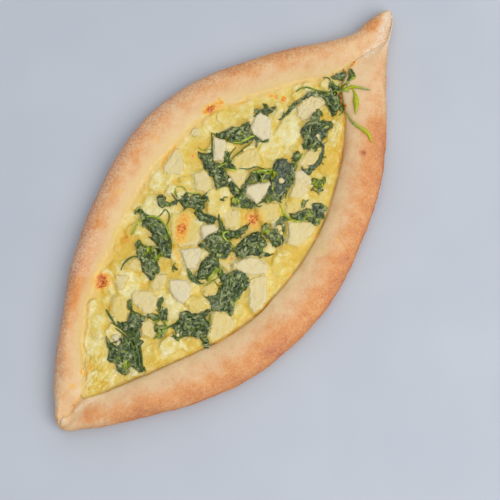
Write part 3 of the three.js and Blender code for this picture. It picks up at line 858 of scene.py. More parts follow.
@dataclass
class DoughForm:
    """The bread's plan and sections, in millimetres."""

    half_length: float = 183.0
    tip_round: float = 7.0
    tip_middle: float = 8.0
    tip_lift: float = 1.6
    lift_start: float = 150.0
    lift_run: float = 30.0
    seam_depth: float = 3.4
    seam_run: float = 16.0
    floor: float = 4.0
    near_corner: float = 2.0
    far_corner: float = 9.0
    lip_height: float = 12.6
    edge_height: float = 12.4
    slope_height: float = 16.4
    belly_height: float = 8.0
    undercut_height: float = 3.2
    undercut: float = 4.0
    trough_start: float = -162.0
    trough_start_run: float = 32.0
    trough_end: float = 138.0
    trough_end_run: float = 38.0
    far_outline: Profile = Profile(table(
        "-183,9.5 -176,13 -165,23 -150,33.5 -128,46.5 -90,67 -50,81 0,89.5 30,87 60,77.5 90,60 "
        "120,38.5 142,19.5 153,12 168,9 183,4"))
    near_outline: Profile = Profile(table(
        "-183,-4.5 -176,-8 -165,-19.5 -140,-40 -120,-56 -90,-73.5 -60,-84 -20,-90 10,-88 50,-78.5 "
        "80,-68 110,-50 140,-28 160,-14.6 172,-9 183,-3"))
    near_lip: Profile = Profile(table(
        "-183,1.4 -170,1.6 -158,1 -150,-5 -130,-16 -100,-33 -70,-47.5 -40,-56 0,-58 30,-54 70,-39.5 "
        "100,-22 113,-9 124,-4.2 137,-2.2 150,-6.2 163,-10 174,-6.4 183,-1.6"))
    far_edge: Profile = Profile(table(
        "-183,3.4 -170,4.4 -158,6 -148,12 -130,27 -100,43 -60,53 -20,62 12,61.5 40,56 70,42 100,22 "
        "120,6 137,-0.4 150,-4.6 163,-8.2 174,-4.6 183,0.2"))
    near_crest: Profile = Profile(table(
        "-183,14.5 -165,18.5 -130,21 -60,20 0,19.4 60,20 110,20.6 140,18.5 160,13.5 183,10.5"))
    far_crest: Profile = Profile(table(
        "-183,14.5 -165,18 -130,20 -60,19.4 0,20 60,20.6 120,20 155,17.5 183,14"))

    def plan(self, x: Array) -> tuple[Array, Array, Array, Array]:
        """The near outline, the far outline, the near lip and the far edge at x."""
        return self.near_outline(x), self.far_outline(x), self.near_lip(x), self.far_edge(x)

    def wave(self, x: Array, phase: float) -> Array:
        """The slow rise and fall of a rim along X."""
        return 0.5 * np.sin(0.09 * x + phase) + 0.35 * np.sin(0.23 * x + 2 * phase)

    def open_share(self, x: Array) -> Array:
        """How far the trough is open at x: 0 along the pinched tips, 1 along the middle."""
        start = smooth((x - self.trough_start) / self.trough_start_run)
        return start * smooth((self.trough_end - x) / self.trough_end_run)

    def tip_scale(self, x: Array) -> Array:
        """How much of its full section the bread has left at x, for the rounded ends."""
        t = np.clip((np.abs(x) - (self.half_length - self.tip_round)) / self.tip_round, 0, 1)
        return np.sqrt(np.maximum(1 - t * t, 0))

    def upper(self, x: Array) -> Array:
        """The upper half of each section at the stations x.

        Args:
            x: The stations, one number each.

        Returns:
            An array of stations by 18 points by (y, z), from the near belly to the far belly.
        """
        near, far, lip, edge = self.plan(x)
        open_, near_wide, far_wide, gap = self.open_share(x), lip - near, far - edge, edge - lip
        near_top = self.near_crest(x) + self.wave(x, 0.6) * open_
        far_top = self.far_crest(x) + self.wave(x, 2.3) * open_
        seam = np.minimum(near_top, far_top)
        seam = seam - self.seam_depth * smooth((self.half_length - np.abs(x)) / self.seam_run)
        floor = lerp(seam, self.floor, open_)
        near_foot = lip + np.minimum(self.near_corner, 0.25 * gap)
        foot = edge - np.minimum(self.far_corner, 0.6 * gap)
        belly = np.full(x.shape, self.belly_height)
        section = (
            (near, belly),
            (near + 0.09 * near_wide, lerp(belly, near_top, 0.58)),
            (near + 0.28 * near_wide, near_top - 1.3),
            (near + 0.52 * near_wide, near_top),
            (near + 0.8 * near_wide, near_top - 1.9),
            (lip - 0.03 * near_wide, lerp(near_top - 2.6, near_top - 5, open_)),
            (lip, lerp(near_top - 3, self.lip_height, open_)),
            (lip + np.minimum(0.5, 0.15 * gap), lerp(seam + 0.2, self.floor + 1.2, open_)),
            (near_foot, floor),
            (lerp(near_foot, foot, 0.5), floor),
            (foot, floor),
            (lerp(foot, edge, 0.6), lerp(floor, lerp(seam, self.edge_height, open_), 0.5)),
            (edge, lerp(seam + 0.3, self.edge_height, open_)),
            (edge + 0.22 * far_wide, lerp(far_top - 1.8, self.slope_height, open_)),
            (edge + 0.5 * far_wide, far_top),
            (far - 0.27 * far_wide, far_top - 1.2),
            (far - 0.08 * far_wide, lerp(belly, far_top, 0.55)),
            (far, belly),
        )
        return np.stack([np.stack(p, -1) for p in section], 1)

    def rings(self, x: Array) -> Array:
        """The whole closed sections at the stations x: stations by 24 points by (y, z)."""
        upper = self.upper(x)
        near, far = upper[:, 0, 0], upper[:, -1, 0]
        lift = self.tip_lift * smooth((np.abs(x) - self.lift_start) / self.lift_run)
        tuck = np.minimum(self.undercut, 0.3 * (far - near))
        under = (
            (far - 0.25 * tuck, self.undercut_height + 0.5 * lift),
            (far - tuck, lift),
            (lerp(far, near, 0.36), lift),
            (lerp(far, near, 0.64), lift),
            (near + tuck, lift),
            (near + 0.25 * tuck, self.undercut_height + 0.5 * lift),
        )
        loop = np.concatenate([upper, np.stack([np.stack(p, -1) for p in under], 1)], 1)
        scale = self.tip_scale(x)[:, None]
        across = lerp(lerp(near, far, 0.5)[:, None], loop[..., 0], scale)
        return np.stack([across, lerp(self.tip_middle, loop[..., 1], scale)], -1)

    def top(self, x: Array, y: Array) -> Array:
        """The height of the dough's upper face at each (x, y) inside its outline."""
        flat_x, flat_y = np.ravel(x), np.ravel(y)
        line = self.upper(flat_x)
        i = np.clip((flat_y[:, None] > line[..., 0]).sum(1) - 1, 0, line.shape[1] - 2)
        rows = np.arange(len(flat_x))
        (y0, z0), (y1, z1) = line[rows, i].T, line[rows, i + 1].T
        return lerp(z0, z1, np.clip((flat_y - y0) / (y1 - y0), 0, 1)).reshape(np.shape(x))


@dataclass
class DoughBoat:
    """The baked boat: dense rings through the form's sections, with the crust's own relief."""

    form: DoughForm
    finish: CrustFinish = CrustFinish()
    stations: int = 330
    roundings: int = 3
    browning: Grain = Grain(26, 3)
    melt_border: Grain = Grain(7, 5)
    swellings: Grain = Grain(24, 11, 2)
    bubbles: Grain = Grain(6, 17)
    spots: Spots = field(default_factory=lambda: {
        Mark.TOAST: (
            (-89.5, 40.6, 9, 0.45), (46.6, 56.6, 2.8, 1, 50, 55.4), (46, 57.4, 4, 0.5, 56.5, 53),
            (-57, 48, 3, 0.5), (-64.7, 47.2, 2.4, 0.5), (85.8, 21, 2.4, 0.6),
            (81.9, 29.2, 2, 0.5, 84, 26), (-145, 13, 2.5, 0.5, -138, 14), (-156, 13, 2.5, 0.45),
            (127, -0.4, 0.9, 0.7, 137, -2.4), (106, -16, 1.8, 0.9), (27, -68, 3, 0.3),
            (-35, 70, 2.5, 0.3), (9, 71, 2.5, 0.3),
        ),
        Mark.BLUSH: (
            # The first blush spot, at (86, -46), darkens the crust round the dent there.
            (86, -46, 3, 0.5), (-50, -73, 9, 0.06), (-112, -55, 5, 0.04, -104, -60),
            (110, -40, 5, 0.05), (-52, -74, 16, 0.14), (115, -27, 8, 0.02), (165, 4, 8, 0.16),
            (-165, -12, 14, 0.08, -140, -26), (-162, -9, 8, 0.26),
        ),
        Mark.YELLOW: (
            (17, -61, 7, 0.7), (-20, -60, 4, 0.35, 40, -54),
        ),
        Mark.FLOUR: (
            (146, -6, 3.2, 1.1, 162, -9), (162, -9, 7, 1.1, 183, -3), (-92, 56, 7, 0.35, -70, 62),
            (-177, 3, 3, 0.5), (-166, 0.5, 1.3, 0.6, -150, -5),
        ),
    })
    creases: tuple[Crease, ...] = (
        Crease("-176,5.6 -173.5,3.4 -170,3.2 -166,4.2", 0.8, 1.3, 0.2),
        Crease("-166,4.2 -158,4", 0.9, 1, 0.4),
        Crease("137,-1.4 150,-5.4 160,-9.4", 1.1, 0.6),
        Crease("160,-9.4 168,-9.6 180,-3", 1, 0.3),
        Crease("-181,8 -176,7.4 -172,9", 1, 0.7, 0.2),
        Crease("96,-52 104,-47 112,-45", 2.2, 0.6, 0.1),
    )
    # Small domes, and dents below 0: place along and across, half sizes, height.
    bosses: tuple[Row, ...] = ((-177.5, 3.2, 3.6, 3, 1.4), (86, -46, 2.4, 2, -0.9))

    def colour_numbers(self, x: Array, y: Array, z: Array) -> dict[str, Array]:
        """The numbers that the crust's material reads, for points of the surface.

        Args:
            x: Place along the bread.
            y: Place across it.
            z: Height.

        Returns:
            bake_and_shade: browning, with painted shade on the far wall towards the left and painted light
                on the outer far wall towards the right; then dust, flour, smear and toast, each from 0 to
                about 1.
        """
        form = self.form
        near, far, lip, edge = form.plan(x)
        near_share = (lip - y) / np.maximum(lip - near, 1)
        far_share = (y - edge) / np.maximum(far - edge, 1)
        open_, belly = form.open_share(x), smooth((form.belly_height + 7 - z) / 9)
        outer = smooth((far_share - 0.6) / 0.3)
        left = smooth((-40 - x) / 50) * smooth((x + 145) / 40)
        near_bake = 0.2 + 0.48 * smooth(near_share * 1.1)
        near_bake = near_bake - 0.35 * smooth((x - 96) / 40) - 0.06 * smooth((20 - x) / 60)
        far_bake_and_shade = 0.16 + 0.2 * smooth(far_share / 0.5) + 0.34 * smooth((far_share - 0.45) / 0.6)
        # Painted shade and painted light: the far wall browns towards the left, where it lies in shade,
        # and the outer far wall pales towards the right, where more light falls on it.
        far_bake_and_shade = far_bake_and_shade + (0.22 - 0.11 * outer) * left * (1 - belly)
        far_bake_and_shade = far_bake_and_shade - 0.09 * smooth((x - 30) / 30) * outer
        bake_and_shade = np.where(far_share > near_share, far_bake_and_shade, near_bake) + 0.12 * belly
        bake_and_shade = lerp(0.36 + 0.12 * belly, bake_and_shade, smooth(0.35 + open_))
        bake_and_shade = bake_and_shade + 0.22 * self.browning.sway(x, y) + spread(self.spots, Mark.BLUSH, x, y)
        dust = 0.25 + 0.75 * smooth((far_share - 0.45) / 0.3) + 0.35 * smooth((near_share - 0.6) / 0.3)
        ragged = 5 * self.melt_border.sway(x, y)
        smear = smooth(1 - (y - edge - 1.5 - ragged) / (0.34 * np.maximum(far - edge, 1)))
        smear = smear * smooth((y - lip) / 2) * open_ * 0.75
        toast = spread(self.spots, Mark.TOAST, x, y)
        for crease in self.creases:
            toast = np.maximum(toast, crease.burn * crease.reach(x, y))
        flour = spread(self.spots, Mark.FLOUR, x, y) * smooth((z - 5) / 5)
        flour = flour + 0.14 * smooth((near_share - 0.1) / 0.4) * (1 - belly)
        floured_rim = lerp(0.5, 0.2, smooth((x - 40) / 40)) * smooth((far_share - 0.5) / 0.35)
        return {
            "bake_and_shade": bake_and_shade,
            "dust": dust * lerp(1, 0.4, belly),
            "flour": flour + floured_rim * (1 - 0.75 * belly) + 0.5 * smooth((2.5 - z) / 2),
            "smear": np.maximum(smear, 0.8 * spread(self.spots, Mark.YELLOW, x, y)),
            "toast": toast * smooth((z - form.belly_height) / 3),
        }

    def relief(self, x: Array, y: Array, round_: Array) -> Array:
        """How far the crust stands out from the plain form, in millimetres.

        Args:
            x: Place along the bread.
            y: Place across it.
            round_: Distance round the section.

        Returns:
            The height to add along the surface's own normal.
        """
        height = 1.3 * self.swellings.sway(x, round_) + 0.7 * self.bubbles.sway(x, round_)
        for crease in self.creases:
            height = height - crease.depth * crease.reach(x, y)
        for along, across, half_along, half_across, rise in self.bosses:
            away = ((x - along) / half_along) ** 2 + ((y - across) / half_across) ** 2
            height = height + rise * np.exp(-away)
        return height

    def build(self) -> Piece:
        """Builds and dresses the boat."""
        form, n = self.form, self.stations
        even = 2 * np.arange(1, n) / n - 1
        x = form.half_length * lerp(even, np.sin(even * np.pi / 2), 0.75)
        loop = form.rings(x)
        for _ in range(self.roundings):
            ahead = np.roll(loop, -1, 1)
            loop = np.stack([lerp(loop, ahead, 0.25), lerp(loop, ahead, 0.75)], 2).reshape(len(x), -1, 2)
        along = np.broadcast_to(x[:, None], loop.shape[:2])
        tangent = np.roll(loop, -1, 1) - np.roll(loop, 1, 1)
        normal = np.stack([-tangent[..., 1], tangent[..., 0]], -1)
        normal /= np.maximum(np.linalg.norm(normal, axis=-1, keepdims=True), 1e-9)
        round_ = np.cumsum(np.linalg.norm(np.roll(loop, -1, 1) - loop, axis=-1), 1)
        weight = form.tip_scale(x)[:, None] * smooth((loop[..., 1] - 0.8) / 3)
        loop = loop + normal * (self.relief(along, loop[..., 0], round_) * weight)[..., None]
        count = loop.shape[1]
        tips = np.array([-form.half_length, form.half_length])
        near, far = form.plan(tips)[:2]
        ends = np.stack([tips, lerp(near, far, 0.5), np.full(2, form.tip_middle)], 1)
        points = np.concatenate([np.concatenate([along[..., None], loop], -1).reshape(-1, 3), ends])
        i, j = np.meshgrid(np.arange(len(x) - 1), np.arange(count), indexing="ij")
        a, b = (i * count + j).ravel(), (i * count + (j + 1) % count).ravel()
        faces = np.stack([a, a + count, b + count, b], 1).tolist()
        first, last = len(x) * count, (len(x) - 1) * count
        for k in range(count):
            after = (k + 1) % count
            faces += [(first, k, after), (first + 1, last + after, last + k)]
        numbers = self.colour_numbers(*points.T)
        points[:, 1] += PLAN_SHIFT
        return build_mesh("dough_boat", points, faces, self.finish.material(), numbers)


@dataclass(frozen=True)
class Curd:
    """A half-melted block of curd in the filling."""

    x: float
    y: float
    along: float
    across: float
    height: float
    turn: float
    pale: float
    lean: float = 0.0
    squareness: float = 3.2

    def inside(self, x: Array, y: Array) -> tuple[Array, Array]:
        """How far each (x, y) is on the block.

        Args:
            x: Place along the bread.
            y: Place across it.

        Returns:
            1 on the block and 0 beside it, and how high its leaning top is there.
        """
        c, s = math.cos(self.turn), math.sin(self.turn)
        u = ((x - self.x) * c + (y - self.y) * s) / self.along
        v = ((y - self.y) * c - (x - self.x) * s) / self.across
        away = (np.abs(u) ** self.squareness + np.abs(v) ** self.squareness) ** (1 / self.squareness)
        share = smooth((1.12 - away) / 0.26)
        return share, share * self.height * (1 + self.lean * u)


@dataclass
class CheeseFilling:
    """The melted cheese between the rims, lumpy with half-melted curds."""

    form: DoughForm
    finish: CheeseFinish = CheeseFinish()
    stations: int = 344
    columns: int = 138
    level: float = 12.0
    thinnest: float = 0.6
    sunk: float = 0.5
    warp_reach: float = 3.4
    climb_steps: int = 8
    strewn_curds: int = 190
    border: Grain = Grain(8, 41)
    warps: tuple[Grain, Grain] = (Grain(6, 51), Grain(6, 53))
    clouds: Grain = Grain(12, 57)
    crumbs: Cells = Cells(3.0, 61)
    thinning: Grain = Grain(5, 63)
    lumps: Grain = Grain(4.2, 71)
    patches: Grain = Grain(11, 73)
    scorching: Grain = Grain(9, 77)
    lapping: Grain = Grain(5, 95)
    # Where the melt runs up the far rim: place along, half width, how far.
    tongues: tuple[Row, ...] = ((51, 9, 3.4), (-60, 12, 1.8))
    # The larger curds: place, half sizes, height, turn and how pale.
    mounds: tuple[Row, ...] = (
        (-139, 8, 11, 6, 1.2, 0.3, 0.4), (-121, 23, 14, 6, 1.2, 0.6, 0.6),
        (-111, -14, 9, 7, 1.7, -0.4, 0.35), (-84, -33, 9, 5, 1.1, -0.4, 0.35),
        (-95, -22, 8, 6, 1.8, -0.3, 0.8), (-52, -44, 7, 5, 1, -0.2, 0.6),
        (-75, -8, 7, 5, 1.3, 0.7, 0.8), (-80, 25, 9, 6, 1.2, 0.2, 0.9), (-30, 45, 9, 7, 1.3, 0.4, 0.8),
        (-10, 53, 10, 6, 1.1, 0, 0.7), (1, 12, 11, 8, 2.2, 0.5, 0.35), (-6, -47, 9, 6, 1.2, 0.1, 0.6),
        (45, 46, 10, 7, 1.5, -0.5, 0.6), (62, 38, 9, 6, 1.2, -0.6, 0.5), (53, 7, 9, 7, 1.8, 0.3, 0.5),
        (68, 4, 9, 8, 1.6, -0.3, 0.85), (79, 7, 9, 5, 1.2, -0.2, 0.75), (68, -31, 9, 6, 1.5, 0.4, 0.2),
        (-88.6, -17, 3.4, 4.4, 1.1, 0.1, 0.3), (36, -37, 7, 5, 1, 0.2, 0.6),
        (88, -22, 9, 5, 1, 0.5, 0.8), (100, 14, 8, 5, 0.9, -0.5, 0.5),
    )
    spots: Spots = field(default_factory=lambda: {
        Mark.TOAST: (
            (6.1, -14, 4.6, 0.85), (6.1, -14, 9, 0.45), (46.6, 56.6, 2.8, 1, 50, 55.4),
            (46, 57.4, 4, 0.5, 56.5, 53), (100, -21.4, 1.3, 0.45, 112, -9.6),
            (72, -37.7, 1.2, 0.4, 100, -21.4), (-90, 39.8, 5.4, 0.95, -89, 41.5),
            (-89.5, 40.6, 9, 0.45), (15, 46, 1.6, 0.7), (-57, 48, 3, 0.5, -58, 45.5),
            (-64.7, 47, 2.4, 0.5), (85.8, 21, 2.4, 0.75), (81.9, 29.2, 2.2, 0.5, 84, 26),
            (61, 45, 1.4, 0.4, 67, 40.8), (-42.8, 14.8, 3, 0.36, -46, 9.9), (-31, 4, 1.2, 0.8),
            (-24, -19, 1.4, 0.8), (-5, 57.5, 1.8, 0.45, 3, 60), (3, 60, 1.8, 0.45, 13, 59.8),
            (-156, 12.5, 2, 0.4), (-145, 11, 2, 0.4, -138, 11), (-133, -14, 1.3, 0.9),
            (-120, -21, 1.3, 0.7), (-80, -43, 1.5, 0.6), (-48, -54, 1.4, 0.6), (-10, -56.5, 1.6, 0.7),
            (22, -55, 1.6, 0.7), (65, -41.5, 1.5, 0.6), (123.5, -2.6, 1.1, 0.9, 127, -0.4),
            (105.5, -14.8, 1, 0.8, 113.6, -6.8), (104, 6, 1.4, 0.5),
        ),
        Mark.YELLOW: (
            (-4.5, -45.5, 9, 0.6), (42, 49, 8, 0.6, 54, 44), (-75, 24, 7, 0.6), (-94, -21, 9, 0.6),
            (-75, -10, 6, 0.5), (-113, 13, 5, 0.4), (93, -15, 9, 0.7, 80, -25),
            (-42.8, 14.8, 5, 0.7, -46, 9.9), (20, 42, 11, 0.35, 2, 48), (-72, 44, 9, 0.75, -56, 46),
            (-110, -14, 9, 0.5), (-85, -33, 8, 0.3), (68, -31, 8, 0.6), (30, -48, 8, 0.7, -6, -52),
            (8, -8, 7, 0.7), (-120, 28, 7, 0.35), (-140, 6, 8, 0.45), (48, 51, 6, 0.7, 58, 46),
            (66, -38, 4, 0.5, 50, -47), (-26, -50, 4, 0.4, -60, -48),
        ),
        Mark.CRUMBLY: (
            (-142, 6, 15, 1), (-120, 26, 7, 0.6), (100, -12, 8, 0.8, 92, -24),
            (-30, 46, 7, 0.5, -5, 52),
        ),
    })

    def top(self, x: Array, y: Array) -> Array:
        """The height of the plain melted surface at each (x, y)."""
        form = self.form
        lip, edge, open_ = form.near_lip(x), form.far_edge(x), form.open_share(x)
        z = self.level + 0.5 * np.sin(0.11 * x + 0.07 * y) + 0.4 * np.sin(0.16 * y - 0.05 * x)
        z = z - 0.5 * smooth(1 - (y - lip) / 3)
        z = lerp(form.top(x, y) + 1.2, z, smooth(open_ * 1.6))
        return z + 2 * smooth((y - edge + 6) / 9) * open_

    def curds(self) -> list[Curd]:
        """The strewn blocks, smaller and fainter, then the mounds over them."""
        blocks = []
        for n in range(self.strewn_curds):
            a, b, c, d, e, f, g = (chance(8.3 * n + 1.7 * k) for k in range(7))
            x = lerp(-150.0, 128.0, a)
            low, high = float(self.form.near_lip(x)) + 6, float(self.form.far_edge(x)) - 3
            along = lerp(3.2, 7.5, c * c)
            blocks.append(Curd(
                x, lerp(low, high, b), along, along * lerp(0.5, 0.85, d), height=lerp(0.5, 2.1, e * e),
                turn=3.14 * f, pale=lerp(0.05, 1.0, g), lean=lerp(-0.7, 0.7, d)))
        return blocks + [Curd(*row) for row in self.mounds]

    def climb(self, z: Array, tops: Array, melt: Array, lap: Array) -> tuple[Array, Array]:
        """Draws the melt up the sides of the chunks in it.

        Args:
            z: The melt's height on its grid.
            tops: The chunks' height there, 0 beside them.
            melt: How far the melt has covered the nearest chunk.
            lap: Where it laps over the chunks' borders.

        Returns:
            The new height, and how near each place is to a chunk, from 0 to 1.
        """
        over = (tops > 0).astype(float)
        near, height = over, tops
        for _ in range(self.climb_steps):
            near, height = (
                (a + np.roll(a, 1, 0) + np.roll(a, -1, 0) + np.roll(a, 1, 1) + np.roll(a, -1, 1)) / 5
                for a in (near, height))
        wall = height / np.maximum(near, 1e-3) - 0.4 + 0.75 * lap
        z = lerp(z, np.maximum(z, wall), smooth(2.2 * near) * smooth(0.35 + 0.8 * melt))
        cover = tops - 0.35 + 0.8 * lap * smooth(3.2 * (1 - near))
        return np.where(over > 0, np.minimum(z, cover), z), near

    def lumpy(self, x: Array, y: Array) -> tuple[Array, Array]:
        """The melt with its curds and crumbs.

        Args:
            x: Place along the bread.
            y: Place across it.

        Returns:
            Its height, and how creamy it is, from about 0 to 1.
        """
        warped = [at + self.warp_reach * w.sway(x, y) for at, w in zip((x, y), self.warps)]
        lumps, cream = np.zeros(x.shape), 0.4 + 0.7 * self.clouds.sway(x, y)
        for curd in self.curds():
            inside, height = curd.inside(*warped)
            lumps = np.maximum(lumps, height) + 0.15 * np.minimum(lumps, height)
            cream = lerp(cream, curd.pale, 0.8 * inside)
        crumbly = spread(self.spots, Mark.CRUMBLY, x, y)
        inside, tone = self.crumbs.at(*warped)
        crumb = smooth(inside / 1.3) * (0.4 + 0.6 * tone)
        z = self.top(x, y) + lumps + 0.9 * crumbly * (crumb - 0.4)
        z = z + self.lumps.sway(x, y) + 0.35 * smooth(self.patches.at(x, y) * 3 - 1) * crumb
        cream = cream + 0.3 * crumbly * (crumb - 0.3) + 0.1 * (lumps - 0.8)
        return z, cream - 0.5 * spread(self.spots, Mark.YELLOW, x, y)

    def build(self, ground: Ground, chunks: Ground, melt_at: Callable[[Array, Array], Array]) -> Piece:
        """Builds and dresses the filling on the dough.

        Args:
            ground: The dough's surface.
            chunks: The chunks' surface.
            melt_at: How far the melt has covered the chunk nearest to a place.

        Returns:
            The filling.
        """
        form = self.form
        x = np.linspace(form.trough_start + 4, form.trough_end - 3, self.stations)[:, None]
        lip, edge, open_ = form.near_lip(x), form.far_edge(x), form.open_share(x)
        wobble = 4.5 * self.border.sway(x, np.zeros_like(x)) * open_
        tongue = sum(reach * np.exp(-(((x - at) / wide) ** 2)) for at, wide, reach in self.tongues)
        end = edge + 3 * open_ + 0.2 + wobble + tongue
        y = lerp(lip - 0.6 * open_, end, np.linspace(0, 1, self.columns)[None, :])
        x = np.broadcast_to(x, y.shape)
        floor, melt = ground.at(x, y), melt_at(x, y + PLAN_SHIFT)
        z, cream = self.lumpy(x, y)
        lap = smooth(6 * (self.lapping.at(x, y) - 0.62) + 1.6 * melt)
        z, near = self.climb(z, chunks.at(x, y), melt, lap)
        z = lerp(z, np.maximum(z, floor + 0.3), smooth((y - lip - 0.5) / 1.5))
        z = lerp(floor - 0.1, z, smooth((end - y) / 7))
        cream = lerp(cream, 0.75 - 0.4 * melt, 0.6 * smooth(2 * near))
        thin = smooth(1.15 - (end - y - 2.5 * self.thinning.at(x, y)) / 8)
        # The ring along the near lip is partly browned melt and partly a painted shadow of the lip over
        # it.
        ring = np.exp(-(((y - lip - 0.4) / 0.9) ** 2)) * lerp(0.45, 1, self.scorching.at(x, y))
        both = {
            "cream": cream * lerp(0.45, 1, smooth((y - lip) / 5)),
            "toast": spread(self.spots, Mark.TOAST, x, y),
            "thin": thin * (1 - 0.22 * tongue),
            "ring": ring * open_,
        }
        numbers = {title: np.tile(values.ravel(), 2) for title, values in both.items()}
        points = sheet_points(x, y + PLAN_SHIFT, z, np.minimum(floor - self.sunk, z - self.thinnest))
        faces = sheet_faces(*x.shape)
        return build_mesh("cheese_filling", points, faces, self.finish.material(), numbers)


@dataclass
class FetaChunks:
    """The feta chunks, from the solids' own forms, with crumbly faces."""

    finish: FetaFinish = FetaFinish()
    voxel: float = 0.6
    warp_reach: float = 1.8
    warps: tuple[Grain, Grain] = (Grain(6, 81), Grain(6, 82))
    dents: Grain = Grain(5, 83)
    crumbs: Cells = Cells(2.8, 87)
    pits: Grain = Grain(2.2, 89, 2)
    slumping: Grain = Grain(9, 91, 2)
    # Place of each chunk, and how far the melt has covered it: 0 sharp and pale, 1 yellow.
    melted: str = """
        23.4,-4.5,0.05 30.6,33.5,0.12 60,20.1,0 -39.8,3,0.15 -18.4,5.2,0.02 -21.2,-31.5,0.3
        -33.8,-46.4,0.35 18.2,-45.9,0.4 -82.1,30.1,0.5 -83.5,9.9,0.35 -62.5,-4.7,0.08 -66.1,10.7,0.45
        -95.5,-4.8,0.6 -3.2,-1.9,0.5 16.2,-19.5,0.85 -27.4,18.7,0.95 3.7,51.6,0.32 29.6,54.5,0.5
        37,14.5,0.7 20.2,11.7,0.65 62.4,-18.6,0.5 91.1,2.3,0.3 40.1,-26.3,0.5 49.1,-23.3,0.2
        -64,-20.1,0.95 -49.2,-19.9,0.75 -67.2,30.4,0.85 -96.5,19.8,0.85 -66.2,-42,0.75 5.6,28.6,0.4
        -30.9,-18.4,0.5 83.7,-8.4,0.1 29,-30.2,0.9
    """
    spots: Spots = field(default_factory=lambda: {
        Mark.TOAST: (
            (-28.3, 20.8, 4.8, 0.95), (-22.5, 23.6, 6, 0.5, -34, 18), (6.1, -14, 4.6, 0.85),
            (6.1, -14, 9, 0.45), (-34, 14, 2, 0.4),
        ),
        Mark.CRUMBLY: (
            (91.1, 2.3, 12, 1),
        ),
    })

    def melt_at(self, x: Array, y: Array) -> Array:
        """How far the melt has covered the chunk nearest to each (x, y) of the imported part."""
        melted = table(self.melted)
        away = np.hypot(x[..., None] - melted[:, 0], y[..., None] - (melted[:, 1] + PLAN_SHIFT))
        return melted[np.argmin(away, -1), 2]

    def even(self, nodes: dict[str, Piece]) -> bpy.types.Mesh:
        """The chunks' solids as one mesh of small even faces.

        Args:
            nodes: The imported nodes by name.

        Returns:
            The mesh, in metres.
        """
        whole = bmesh.new()
        for name in sorted(n for n in nodes if n.startswith("feta_")):
            whole.from_mesh(nodes[name].data)
        bmesh.ops.remove_doubles(whole, verts=whole.verts, dist=0.002 * MM)
        mesh = bpy.data.meshes.new("feta_rough")
        whole.to_mesh(mesh)
        whole.free()
        rough = placed("feta_rough", mesh)
        remesh = rough.modifiers.new("even", "REMESH")
        remesh.mode, remesh.voxel_size = "VOXEL", self.voxel * MM
        soften = rough.modifiers.new("soften", "SMOOTH")
        soften.factor, soften.iterations = 0.5, 1
        even = plain_mesh(rough)
        bpy.data.objects.remove(rough)
        return even

    def build(self, nodes: dict[str, Piece]) -> Piece:
        """Builds and dresses the chunks.

        Args:
            nodes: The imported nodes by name.

        Returns:
            One object with all the chunks.
        """
        even = self.even(nodes)
        points, normals = np.empty((2, len(even.vertices) * 3))
        even.vertices.foreach_get("co", points)
        even.vertices.foreach_get("normal", normals)
        points, normals = points.reshape(-1, 3) / MM, normals.reshape(-1, 3)
        x, y, z = points.T
        along, across = self.warps
        warp = (along.sway(x + 0.4 * z, y), across.sway(x, y + 0.4 * z), 0 * z)
        points = points + self.warp_reach * np.stack(warp, 1)
        x, y, z = points.T
        u, v = x + 1.3 * z, y - 0.9 * z
        pits = smooth((self.pits.at(u, v) - 0.62) * 7)
        cells, tone = self.crumbs.at(u, v)
        crumbly = 0.15 + 0.85 * spread(self.spots, Mark.CRUMBLY, x, y)
        push = 0.7 * self.dents.sway(u, v) - 0.45 * pits
        push = push + 1.1 * crumbly * (smooth(cells / 1.2) * (0.4 + 0.6 * tone) - 0.45)
        points = points + normals * push[:, None]
        points[:, 2] += 1.1 * self.slumping.sway(x, y) * smooth((z - 13) / 2)
        numbers = {
            "melt": self.melt_at(x, y) + 0.5 * smooth((15.5 - z) / 2.5),
            "toast": spread(self.spots, Mark.TOAST, x, y),
        }
        faces = [tuple(p.vertices) for p in even.polygons]
        return build_mesh("feta_chunks", points, faces, self.finish.material(), numbers)


